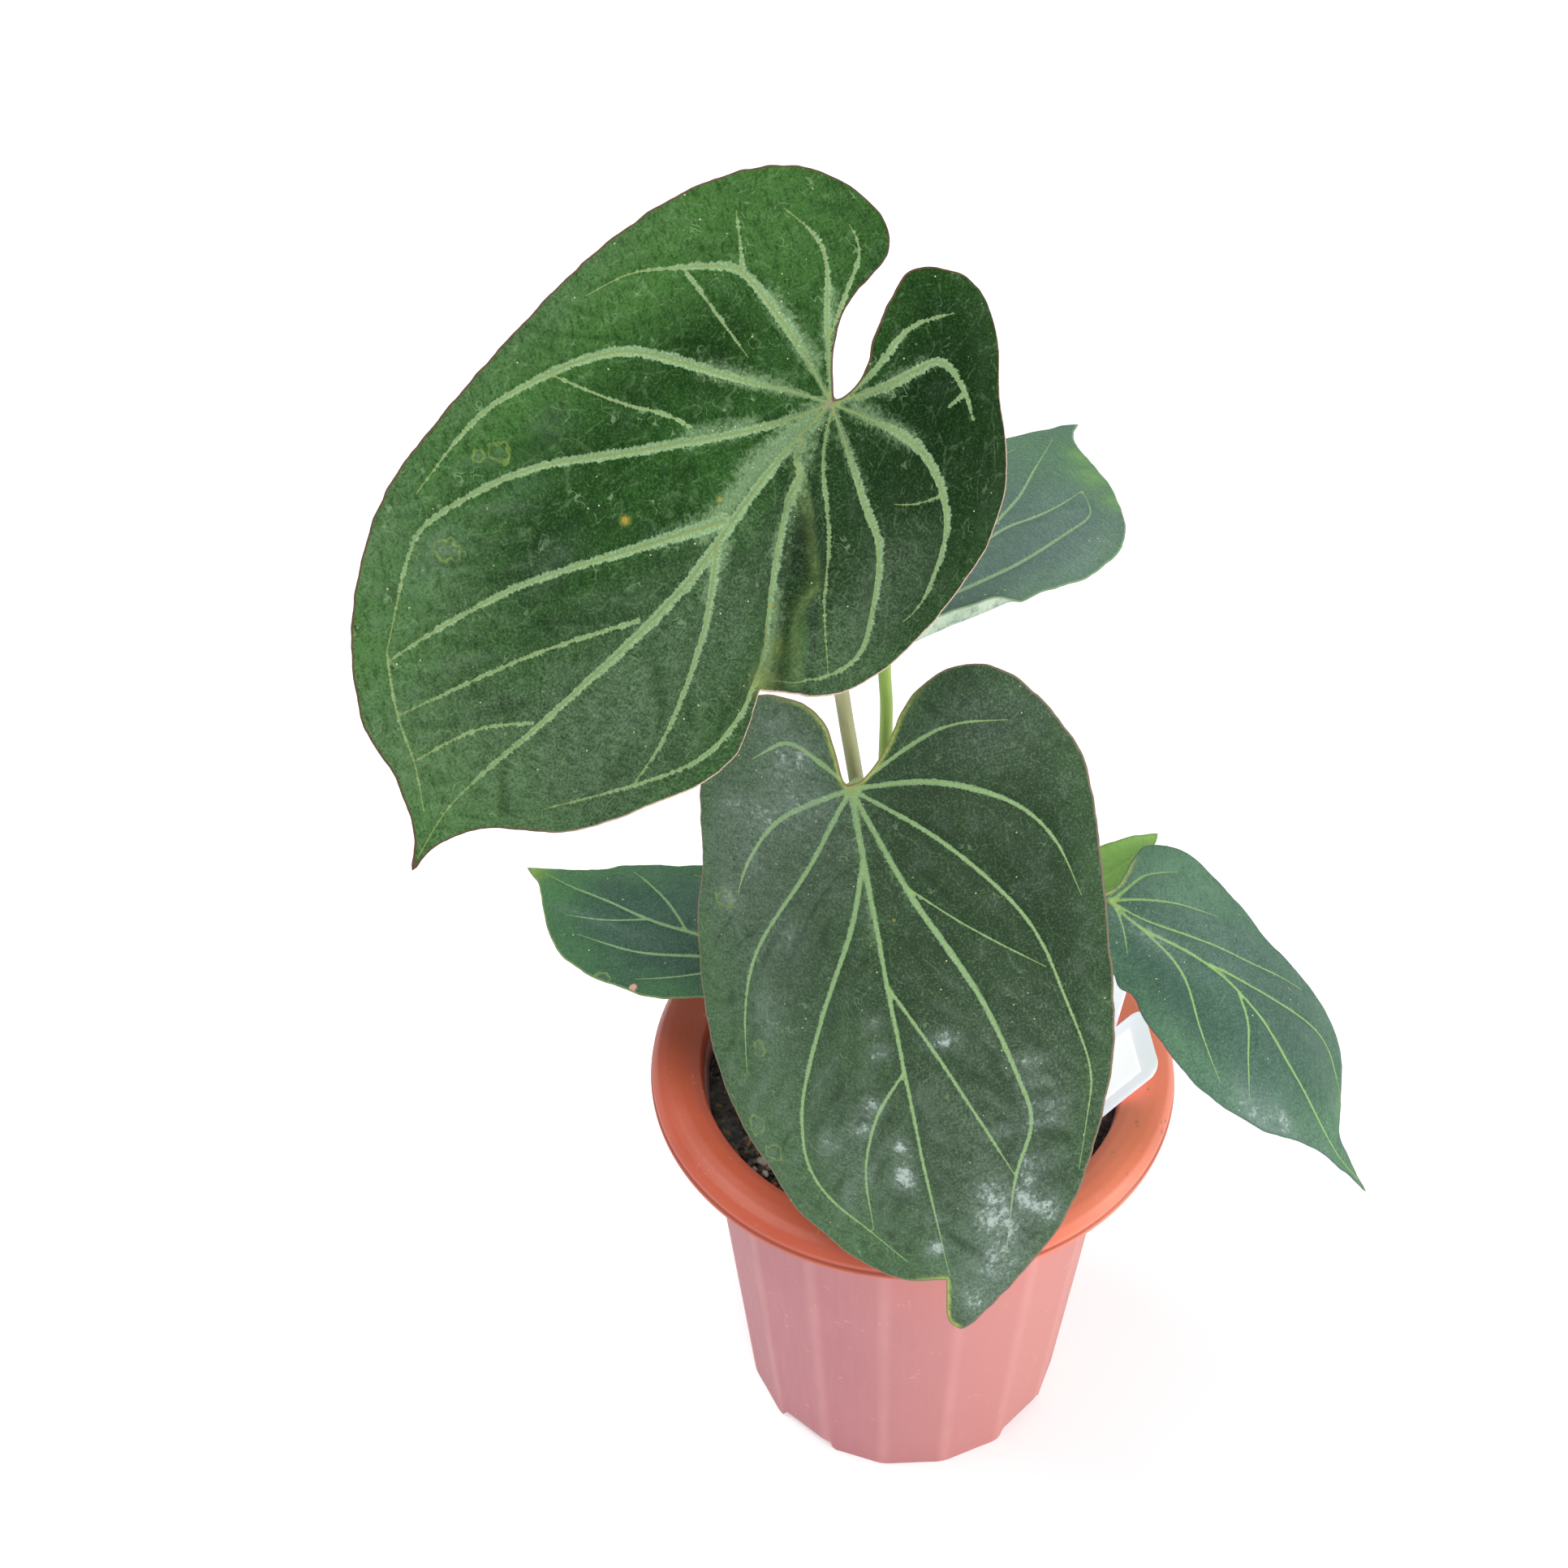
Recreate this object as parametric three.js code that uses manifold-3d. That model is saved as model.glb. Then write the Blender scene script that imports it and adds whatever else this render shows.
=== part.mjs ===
// Potted anthurium king of spades. Millimetres, +Z up.
// The plant is laid out from the pot's axis, and the whole group is then moved
// so that the middle of its lowest face lies at the origin.
import * as THREE from "three";
import { mergeVertices } from "three/addons/utils/BufferGeometryUtils.js";
import Module from "manifold-3d";

const wasm = await Module();
wasm.setup();

// Pot: a 170 mm nursery pot of thin moulded plastic with a rolled rim.
const potHeight = 154;
const rimRadius = 85;
const rimCrownRadius = 76;
const mouthRadius = 68.7;
const shoulderRadius = 69.2;
const heelRadius = 55.2;
const footRadius = 53.2;
const heelHeight = 18;
const wall = 1.6;
const rimDepth = 9;
const lipThickness = 1.8;
const floorHeight = 5;
const floorThickness = 3;
const footWidth = 3.2;
const facets = 16;
const turns = 48;
const facetDepth = 0.7;
const facetTurn = THREE.MathUtils.degToRad(15);
const archWidth = 20;
const archHeight = 4.6;
const archCount = 4;
const firstArch = THREE.MathUtils.degToRad(-130);
const drainRadius = 5;
const drainRing = 32;

// Potting mix and what stands in it.
const clearance = 0.3;
const mixTop = 138;
const crownRadius = 13;
const crownTop = 147;
const crownBottom = 120;
const crownSpot = new THREE.Vector3(-8, 6, 0);

// Leaves.
const bladeThickness = 0.8;
const marginStep = 9;
const meshStep = 15;
const petioleSides = 10;
const knuckleRun = 13;

const group = new THREE.Group();

function paint(name, geometry, colour, roughness) {
  const material = new THREE.MeshStandardMaterial({ color: colour, roughness, metalness: 0 });
  const mesh = new THREE.Mesh(geometry, material);
  mesh.name = name;
  group.add(mesh);
  return mesh;
}

function toSolid(geometry) {
  const bare = geometry.clone();
  bare.deleteAttribute("normal");
  bare.deleteAttribute("uv");
  const merged = mergeVertices(bare, 1e-4);
  const vertProperties = new Float32Array(merged.attributes.position.array);
  const triVerts = new Uint32Array(merged.index.array);
  return new wasm.Manifold(new wasm.Mesh({ numProp: 3, vertProperties, triVerts }));
}

function toGeometry(solid) {
  const mesh = solid.getMesh();
  const geometry = new THREE.BufferGeometry();
  geometry.setAttribute("position", new THREE.BufferAttribute(mesh.vertProperties, 3));
  geometry.setIndex(new THREE.BufferAttribute(mesh.triVerts, 1));
  geometry.computeVertexNormals();
  return geometry;
}

function revolve(profile, segments) {
  const points = profile.map(([radius, height]) => new THREE.Vector2(radius, height));
  const geometry = new THREE.LatheGeometry(points, segments);
  geometry.rotateX(Math.PI / 2);
  return geometry;
}

function upright(radius, bottom, top, x, y, sides = 24) {
  const geometry = new THREE.CylinderGeometry(radius, radius, top - bottom, sides);
  geometry.rotateX(Math.PI / 2);
  geometry.translate(x, y, (top + bottom) / 2);
  return geometry;
}

// The moulded flutes: the body is a little flat between the facet corners.
function flute(geometry, below) {
  const position = geometry.attributes.position;
  for (let i = 0; i < position.count; i += 1) {
    const x = position.getX(i);
    const y = position.getY(i);
    const radius = Math.hypot(x, y);
    if (position.getZ(i) < below && radius > 40) {
      const across = Math.cos((Math.atan2(y, x) - facetTurn) * facets);
      const scale = (radius - facetDepth * 0.5 * (1 - across)) / radius;
      position.setXY(i, x * scale, y * scale);
    }
  }
  return geometry;
}

// Pot: one moulding, with foot arches and drain holes cut out.
function makePot() {
  const top = potHeight;
  const under = top - rimDepth;
  const profile = [
    [0, floorHeight],
    [footRadius - footWidth, floorHeight],
    [footRadius - footWidth, 0],
    [footRadius, 0],
    [heelRadius, heelHeight],
    [shoulderRadius, under],
    [shoulderRadius + 0.6, top - 4.6],
    [rimCrownRadius, top - 1.8],
    [rimRadius - 4, top - 3.6],
    [rimRadius - 1.8, top - 7],
    [rimRadius - 1.8, top - rimDepth],
    [rimRadius, top - rimDepth],
    [rimRadius, top - rimDepth + lipThickness],
    [rimRadius - 0.6, top - rimDepth + lipThickness + 0.5],
    [rimRadius - 0.3, top - 5],
    [rimRadius - 2.4, top - 2],
    [rimRadius - 5.4, top - 0.5],
    [rimCrownRadius, top],
    [rimCrownRadius - 4, top - 0.6],
    [mouthRadius, top - 2.6],
    [mouthRadius - 0.8, top - 6],
    [shoulderRadius - wall, under],
    [heelRadius - wall, heelHeight],
    [footRadius - wall + 0.9, floorHeight + floorThickness],
    [0, floorHeight + floorThickness],
  ];
  let pot = toSolid(flute(revolve(profile, turns), under + 0.1));
  for (let i = 0; i < archCount; i += 1) {
    const angle = firstArch + (i * Math.PI * 2) / archCount;
    const arch = new THREE.BoxGeometry(16, archWidth, archHeight * 2);
    arch.translate(footRadius - 1, 0, 0);
    arch.rotateZ(angle);
    pot = pot.subtract(toSolid(arch));
  }
  for (let i = 0; i <= archCount; i += 1) {
    const angle = firstArch + ((i + 0.5) * Math.PI * 2) / archCount;
    const reach = i === archCount ? 0 : drainRing;
    const x = reach * Math.cos(angle);
    const y = reach * Math.sin(angle);
    pot = pot.subtract(toSolid(upright(drainRadius, 0, floorHeight + floorThickness + 4, x, y)));
  }
  return toGeometry(pot);
}

// A card: a flat outline, thickened, tipped and set down at its top end.
function card(outline, thickness, spot, heading, tilt, offset = 0) {
  const geometry = new THREE.ExtrudeGeometry(outline, {
    depth: thickness,
    bevelEnabled: false,
    curveSegments: 5,
  });
  geometry.translate(0, 0, offset);
  geometry.rotateY(-tilt);
  geometry.rotateZ(heading);
  geometry.translate(spot.x, spot.y, spot.z);
  return geometry;
}

// Plant tag: a soft white card pushed into the mix and leaning out over the rim.
const tagWidth = 27;
const tagLength = 64;
const tagCorner = 5;
const tagThickness = 0.8;
const tagSpot = new THREE.Vector3(76, -4, 166.2);
const tagHeading = THREE.MathUtils.degToRad(8);
const tagTilt = THREE.MathUtils.degToRad(50);

function tagOutline(grow) {
  const half = tagWidth / 2 + grow;
  const shape = new THREE.Shape();
  shape.moveTo(-tagLength - grow, -3 - grow);
  shape.lineTo(-tagLength + 20, -half);
  shape.lineTo(-tagCorner, -half);
  shape.quadraticCurveTo(grow, -half, grow, -half + tagCorner);
  shape.lineTo(grow, half - tagCorner);
  shape.quadraticCurveTo(grow, half, -tagCorner, half);
  shape.lineTo(-tagLength + 20, half);
  shape.lineTo(-tagLength - grow, 3 + grow);
  shape.closePath();
  return shape;
}

// Sticker: a small paper label on the tag's upper face, with nothing written on it.
const stickerLength = 20;
const stickerWidth = 18;
const stickerInset = 7;

function stickerOutline() {
  const shape = new THREE.Shape();
  const half = stickerWidth / 2;
  shape.moveTo(-stickerInset - stickerLength, -half);
  shape.lineTo(-stickerInset, -half);
  shape.lineTo(-stickerInset, half);
  shape.lineTo(-stickerInset - stickerLength, half);
  shape.closePath();
  return shape;
}

// Label stake: a narrow white strip that stands against the far side of the mouth.
const stakeWidth = 9;
const stakeThickness = 1;
const stakeTop = 192;
const stakeShoulder = 153;
const stakeTip = 110;
const stakeX = 61.3;
const stakeY = 12;

function stakeGeometry(grow) {
  const half = stakeWidth / 2 + grow;
  const shape = new THREE.Shape();
  shape.moveTo(stakeX - 1 - grow, stakeTip - grow);
  shape.lineTo(stakeX + grow, stakeTip - grow);
  shape.lineTo(stakeX + half, stakeShoulder);
  shape.lineTo(stakeX + half, stakeTop);
  shape.lineTo(stakeX - half, stakeTop);
  shape.lineTo(stakeX - half, stakeShoulder);
  shape.closePath();
  const depth = stakeThickness + 2 * grow;
  const geometry = new THREE.ExtrudeGeometry(shape, { depth, bevelEnabled: false });
  geometry.rotateX(Math.PI / 2);
  geometry.translate(0, stakeY + depth / 2, 0);
  return geometry;
}

// Crown: the short woody stem that the petioles rise from.
function crownGeometry(grow) {
  const profile = [
    [0, crownBottom - grow],
    [crownRadius - 4 + grow, crownBottom - grow],
    [crownRadius + grow, crownBottom + 12],
    [crownRadius + grow, crownTop - 2],
    [crownRadius - 1.5 + grow, crownTop],
    [0, crownTop],
  ];
  const geometry = revolve(profile, 20);
  geometry.translate(crownSpot.x, crownSpot.y, 0);
  return geometry;
}

// Potting mix: fills the pot, with a pocket for each thing that stands in it.
function makeMix() {
  const bottom = floorHeight + floorThickness + clearance;
  const slope = (shoulderRadius - heelRadius) / (potHeight - rimDepth - heelHeight);
  const topRadius = heelRadius + (mixTop - heelHeight) * slope - wall - clearance;
  const profile = [
    [0, bottom],
    [footRadius - wall + 0.3, bottom],
    [heelRadius - wall - clearance, heelHeight],
    [topRadius, mixTop],
    [0, mixTop],
  ];
  let mix = toSolid(flute(revolve(profile, turns), potHeight));
  mix = mix.subtract(toSolid(crownGeometry(clearance)));
  mix = mix.subtract(toSolid(stakeGeometry(clearance)));
  const pocket = card(tagOutline(clearance), tagThickness + 2 * clearance, tagSpot, tagHeading,
    tagTilt, -clearance);
  mix = mix.subtract(toSolid(pocket));
  return toGeometry(mix);
}

// Each blade is drawn flat: along runs from the petiole to the tip, across runs
// to the side. Its runs of margin meet at corners: sinus, tip and any notch.
// Heading, dip and roll turn it, and sag, lobes, folds and creases lift it.
const blades = [
  {
    name: "large", seat: [-29, 0, 423], heading: 225, dip: 23, roll: 44, length: 170,
    sag: 10, lobeSag: 8, foldLeft: 0.06, foldRight: 0.5, foldSoft: 9,
    crease: { end: [66, 44], depth: 4, bulge: 4 }, stem: 2.4, root: [-9, 2],
    way: [[-14.5, 6, 230], [-29, 8.5, 345]], colour: 0x2f5a2c, stemColour: 0x6f6a3c,
    runs: [
      [[-4, -2], [-10, -8], [-24, -15], [-41, -16], [-48, -23], [-48, -37], [-36, -55],
        [-12, -68], [17, -74], [46, -75], [76, -74], [104, -70], [131, -55], [149, -35],
        [154, -19], [161, -5], [169, 2]],
      [[169, 2], [158, 3], [146, 11], [130, 30], [107, 43], [86, 50], [66, 43]],
      [[66, 43], [52, 60], [30, 68], [0, 68], [-23, 60], [-40, 38], [-50, 25], [-54, 12],
        [-51, 0], [-42, -8], [-24, -5], [-9, 2], [-4, -2]],
    ],
  },
  {
    name: "front", seat: [-22, -15, 290], heading: 284, dip: 44, roll: -26, length: 165,
    sag: 16, lobeSag: 8, foldLeft: 0.3, foldRight: 0.12, foldSoft: 8,
    stem: 2.2, root: [-13, -1], way: [[-15, -7, 200], [-19, -9, 260]],
    colour: 0x2c4a31, stemColour: 0x5f7a3c,
    runs: [
      [[-4, 0], [-12, -2], [-20, -4], [-28, -12], [-32, -26], [-25, -41], [-10, -49],
        [14, -53], [34, -59], [65, -62], [89, -59], [112, -50], [128, -40], [145, -20],
        [149, -2]],
      [[149, -2], [158, -2], [164, 0]],
      [[164, 0], [151, 20], [131, 41], [98, 59], [72, 66], [44, 69], [20, 70], [0, 68],
        [-23, 54], [-30, 38], [-24, 23], [-4, 9], [-4, 0]],
    ],
  },
  {
    name: "back", seat: [-7, 22, 324], heading: 58, dip: 1, roll: 0, length: 110,
    sag: 6, lobeSag: 4, foldLeft: 0.1, foldRight: 0.1, foldSoft: 8,
    rolled: { start: 11, spread: 0.4, steep: 1.5, until: 34 }, stem: 2.2, root: [-5, 11],
    way: [[-10.5, 14.5, 235], [-10.5, 18.5, 292], [-10, 20.5, 303]], colour: 0x41603f,
    stemColour: 0x6f9a3e,
    runs: [
      [[-4, 0], [-14, -3], [-15, -8], [-6, -13], [11, -20], [25, -24], [43, -31], [52, -35],
        [66, -37], [76, -34], [85, -28], [96, -16], [105, -2], [116, 4]],
      [[116, 4], [108, 10], [94, 19], [75, 31], [50, 39], [22, 38], [0, 32], [-17, 20],
        [-20, 9], [-12, 3], [-4, 0]],
    ],
  },
  {
    name: "left", seat: [-48, 0, 199], heading: 149, dip: 4, roll: 8, length: 94,
    sag: 4, lobeSag: 3, foldLeft: 0.15, foldRight: 0.15, foldSoft: 6,
    stem: 1.7, root: [-15, 6], way: [[-27, 6, 165], [-43, 3, 185]],
    colour: 0x35573a, stemColour: 0x66803c,
    runs: [
      [[-4, 0], [-14, -4], [-19, -12], [-14, -25], [2, -32], [20, -32], [39, -27], [51, -21],
        [64, -16], [74, -9], [92, -2]],
      [[92, -2], [84, 3], [76, 12], [61, 24], [42, 26], [22, 24], [8, 18], [-8, 14], [-16, 8],
        [-12, 3], [-4, 0]],
    ],
  },
  {
    name: "right", seat: [59.5, -2, 228], heading: 334, dip: 15, roll: 0, length: 115,
    sag: 60, lobeSag: 6, foldLeft: 0.25, foldRight: 0.25, foldSoft: 6,
    stem: 1.8, root: [-1, 3], way: [[20, 2, 178], [48, -1, 207]],
    colour: 0x3a6138, stemColour: 0x7a9a45,
    runs: [
      [[-4, 0], [-12, -4], [-13, -12], [0, -22], [16, -25], [30, -30], [53, -32], [74, -25],
        [92, -13], [113, -4]],
      [[113, -4], [97, 4], [88, 25], [71, 33], [45, 34], [23, 40], [7, 39], [-3, 22],
        [-2, 9], [-4, 0]],
    ],
  },
  {
    name: "young", seat: [47, 18, 202], heading: 35, dip: -20, roll: 0, length: 40,
    sag: 1, lobeSag: 1, foldLeft: -0.2, foldRight: -0.2, foldSoft: 4,
    stem: 1.3, root: [0.5, 9.5], way: [[18, 14, 165], [40, 17, 188]],
    colour: 0x5f9433, stemColour: 0x7fae4a,
    runs: [
      [[-3, 0], [-8, -3], [-4, -8], [8, -11], [22, -9], [34, -3], [40, 1]],
      [[40, 1], [31, 6], [21, 10], [8, 12], [-4, 8], [-8, 3], [-3, 0]],
    ],
  },
];

function frameOf(blade) {
  const heading = THREE.MathUtils.degToRad(blade.heading);
  const dip = THREE.MathUtils.degToRad(blade.dip);
  const roll = THREE.MathUtils.degToRad(blade.roll);
  const flat = new THREE.Vector3(Math.cos(heading), Math.sin(heading), 0);
  const up = new THREE.Vector3(0, 0, 1);
  const along = flat.clone().multiplyScalar(Math.cos(dip)).addScaledVector(up, -Math.sin(dip));
  const level = flat.clone().multiplyScalar(Math.sin(dip)).addScaledVector(up, Math.cos(dip));
  const side = level.clone().cross(along);
  const face = level.multiplyScalar(Math.cos(roll)).addScaledVector(side, Math.sin(roll));
  const across = face.clone().cross(along);
  return { seat: new THREE.Vector3(...blade.seat), along, across, face };
}

function liftOf(blade, along, across) {
  const reach = along / blade.length;
  const drop = along > 0 ? blade.sag : blade.lobeSag * 4;
  const fold = across > 0 ? blade.foldRight : blade.foldLeft;
  const soft = blade.foldSoft;
  let lift = -drop * reach * reach - fold * (Math.hypot(across, soft) - soft);
  if (blade.wrap) {
    lift -= (across * across) / (2 * blade.wrap);
  }
  if (blade.crease) {
    const [endAlong, endAcross] = blade.crease.end;
    const run = Math.hypot(endAlong, endAcross);
    const down = (along * endAlong + across * endAcross) / run;
    const off = (across * endAlong - along * endAcross) / run;
    const ramp = THREE.MathUtils.smoothstep(down, 0, run);
    lift -= blade.crease.depth * ramp * Math.exp(-((off / 6) ** 2));
    lift += blade.crease.bulge * ramp * Math.exp(-(((off - 16) / 10) ** 2));
  }
  if (blade.rolled) {
    const { start, spread, steep, until } = blade.rolled;
    const past = Math.max(0, -across - start - spread * along);
    lift += steep * past * (1 - THREE.MathUtils.smoothstep(along, until - 16, until));
  }
  return lift;
}

function outlineOf(blade) {
  const outline = [];
  for (const run of blade.runs) {
    const curve = new THREE.SplineCurve(run.map(([x, y]) => new THREE.Vector2(x, y)));
    const steps = Math.max(2, Math.round(curve.getLength() / marginStep));
    outline.push(...curve.getSpacedPoints(steps).slice(0, -1));
  }
  return outline;
}

// Halves the longest edge, and the one or two triangles on it, until none is too long.
function refine(points, triangles, longest) {
  for (;;) {
    let worst = null;
    let worstLength = longest;
    for (const triangle of triangles) {
      for (let k = 0; k < 3; k += 1) {
        const a = triangle[k];
        const b = triangle[(k + 1) % 3];
        const length = points[a].distanceTo(points[b]);
        if (length > worstLength) {
          worstLength = length;
          worst = [a, b];
        }
      }
    }
    if (!worst) {
      return triangles;
    }
    const [a, b] = worst;
    const middle = points.length;
    points.push(points[a].clone().add(points[b]).multiplyScalar(0.5));
    triangles = triangles.flatMap((triangle) => {
      if (!triangle.includes(a) || !triangle.includes(b)) {
        return [triangle];
      }
      return [
        triangle.map((corner) => (corner === a ? middle : corner)),
        triangle.map((corner) => (corner === b ? middle : corner)),
      ];
    });
  }
}

// A leaf's blade: a thin closed sheet with an upper face, an under face and a margin.
function makeSheet(blade, thickness, step) {
  const { seat, along, across, face } = frameOf(blade);
  const points = outlineOf(blade);
  const flat = THREE.ShapeUtils.triangulateShape(points, []).map(([a, b, c]) => {
    const ab = points[b].clone().sub(points[a]);
    const ac = points[c].clone().sub(points[a]);
    return ab.cross(ac) > 0 ? [a, b, c] : [a, c, b];
  });
  const triangles = refine(points, flat, step);
  const count = points.length;
  const positions = [];
  for (const side of [0.5, -0.5]) {
    for (const point of points) {
      const lift = liftOf(blade, point.x, point.y) + side * thickness;
      const place = seat.clone()
        .addScaledVector(along, point.x)
        .addScaledVector(across, point.y)
        .addScaledVector(face, lift);
      positions.push(place.x, place.y, place.z);
    }
  }
  const edges = new Set();
  for (const [a, b, c] of triangles) {
    edges.add(`${a},${b}`).add(`${b},${c}`).add(`${c},${a}`);
  }
  const index = [];
  for (const [a, b, c] of triangles) {
    index.push(a, b, c, count + a, count + c, count + b);
    for (const [from, to] of [[a, b], [b, c], [c, a]]) {
      if (!edges.has(`${to},${from}`)) {
        index.push(from, count + from, to, to, count + from, count + to);
      }
    }
  }
  const geometry = new THREE.BufferGeometry();
  geometry.setAttribute("position", new THREE.Float32BufferAttribute(positions, 3));
  geometry.setIndex(index);
  geometry.computeVertexNormals();
  return geometry;
}

// A petiole rises off the crown's top and meets the blade's under face square on,
// cut to that face so that the joint is even all round.
function makePetiole(blade) {
  const { seat, face } = frameOf(blade);
  const [rootX, rootY] = blade.root;
  const route = [
    new THREE.Vector3(rootX, rootY, crownTop + clearance),
    new THREE.Vector3(rootX, rootY, crownTop + 8),
    ...blade.way.map((point) => new THREE.Vector3(...point)),
    seat.clone().addScaledVector(face, -knuckleRun),
    seat.clone().addScaledVector(face, -3),
    seat.clone().addScaledVector(face, 2),
  ];
  const path = new THREE.CatmullRomCurve3(route, false, "centripetal");
  const section = new THREE.Shape();
  for (let i = 0; i < petioleSides; i += 1) {
    const angle = (i * Math.PI * 2) / petioleSides;
    const x = blade.stem * Math.cos(angle);
    const y = blade.stem * Math.sin(angle);
    if (i === 0) {
      section.moveTo(x, y);
    } else {
      section.lineTo(x, y);
    }
  }
  section.closePath();
  const steps = Math.round(path.getLength() / 6);
  const tube = new THREE.ExtrudeGeometry(section, { steps, bevelEnabled: false, extrudePath: path });
  const room = toSolid(makeSheet(blade, bladeThickness + 2 * clearance, meshStep));
  const pieces = toSolid(tube).subtract(room).decompose();
  const lowest = pieces.reduce((best, piece) => (
    piece.boundingBox().min[2] < best.boundingBox().min[2] ? piece : best
  ));
  return toGeometry(lowest);
}

// Sheaths: dry papery scales that stand round the crown, each a pointed sheet.
const sheathLength = 30;
const sheathHeadings = [75, 215, 305];

function sheath(heading) {
  const angle = THREE.MathUtils.degToRad(heading);
  const out = crownRadius + clearance + 0.5;
  return {
    seat: [crownSpot.x + out * Math.cos(angle), crownSpot.y + out * Math.sin(angle),
      mixTop + clearance],
    heading: heading + 180, dip: -90, roll: 0, length: sheathLength,
    sag: 0, lobeSag: 0, foldLeft: 0, foldRight: 0, foldSoft: 1, wrap: out,
    runs: [
      [[0, 6], [0, -6]],
      [[0, -6], [8, -7], [18, -5], [sheathLength, 0]],
      [[sheathLength, 0], [18, 5], [8, 7], [0, 6]],
    ],
  };
}

paint("pot", makePot(), 0xb9573d, 0.5);
paint("potting_mix", makeMix(), 0x241b15, 0.95);
paint("crown", crownGeometry(0), 0x5a4a30, 0.85);
blades.forEach((blade) => {
  paint(`petiole_${blade.name}`, makePetiole(blade), blade.stemColour, 0.55);
  paint(`blade_${blade.name}`, makeSheet(blade, bladeThickness, meshStep), blade.colour, 0.6);
});
paint("plant_tag", card(tagOutline(0), tagThickness, tagSpot, tagHeading, tagTilt), 0xe8e8ee, 0.5);
paint("tag_sticker", card(stickerOutline(), 0.4, tagSpot, tagHeading, tagTilt,
  tagThickness + clearance), 0xf4f4f6, 0.6);
paint("label_stake", stakeGeometry(0), 0xdcdce6, 0.5);

// Bark chips: loose flat pieces that lie on the mix.
const chips = [
  { spot: [-52, -18], size: [9, 5, 3], turn: 30, colour: 0x7a4a2a },
  { spot: [-48, -34], size: [7, 4.5, 2.6], turn: -40, colour: 0x9a9288 },
  { spot: [-36, -46], size: [6, 5, 2.4], turn: 75, colour: 0x6a3c22 },
  { spot: [30, 42], size: [8, 5, 2.8], turn: 10, colour: 0x4a3424 },
];
chips.forEach((chip, i) => {
  const [length, width, height] = chip.size;
  const geometry = new THREE.BoxGeometry(length, width, height);
  geometry.rotateZ(THREE.MathUtils.degToRad(chip.turn));
  geometry.translate(chip.spot[0], chip.spot[1], mixTop + clearance + height / 2);
  paint(`bark_chip_${i + 1}`, geometry, chip.colour, 0.9);
});
sheathHeadings.forEach((heading, i) => {
  paint(`sheath_${i + 1}`, makeSheet(sheath(heading), 0.6, 12), 0x8a7048, 0.8);
});

// The origin: the middle of the bottom face of the whole plant's box.
const box = new THREE.Box3().setFromObject(group);
const middle = box.getCenter(new THREE.Vector3());
group.position.set(-middle.x, -middle.y, -box.min.z);
group.updateMatrixWorld(true);

export default group;
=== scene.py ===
import math

import bmesh
import bpy
import numpy as np
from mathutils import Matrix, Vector, geometry, noise


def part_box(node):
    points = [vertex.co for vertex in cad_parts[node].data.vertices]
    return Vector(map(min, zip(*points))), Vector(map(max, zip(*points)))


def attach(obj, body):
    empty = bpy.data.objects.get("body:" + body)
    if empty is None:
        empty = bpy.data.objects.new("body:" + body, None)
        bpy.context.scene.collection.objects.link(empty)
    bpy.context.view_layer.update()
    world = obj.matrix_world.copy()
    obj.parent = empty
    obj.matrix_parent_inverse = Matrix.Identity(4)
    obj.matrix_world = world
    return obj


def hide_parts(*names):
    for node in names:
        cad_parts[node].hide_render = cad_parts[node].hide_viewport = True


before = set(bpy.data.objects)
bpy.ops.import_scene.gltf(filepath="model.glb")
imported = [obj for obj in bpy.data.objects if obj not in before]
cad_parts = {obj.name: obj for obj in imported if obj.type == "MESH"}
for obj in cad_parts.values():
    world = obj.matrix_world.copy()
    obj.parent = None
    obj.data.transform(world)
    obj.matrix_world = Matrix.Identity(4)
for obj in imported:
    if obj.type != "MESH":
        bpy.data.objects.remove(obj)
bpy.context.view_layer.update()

# Pot: one thin moulding of brick-red plastic with sixteen shallow facets, a rolled rim and a
# lip bead below it. It stands on a foot ring cut by four arches, and its floor has five
# drain holes. Its body has faded and gone chalky, and the rim is scuffed.
MM = 0.001
pot_low, pot_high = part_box("pot")
pot_axis = np.array([(pot_low.x + pot_high.x) / 2, (pot_low.y + pot_high.y) / 2, 0.0])


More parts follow.
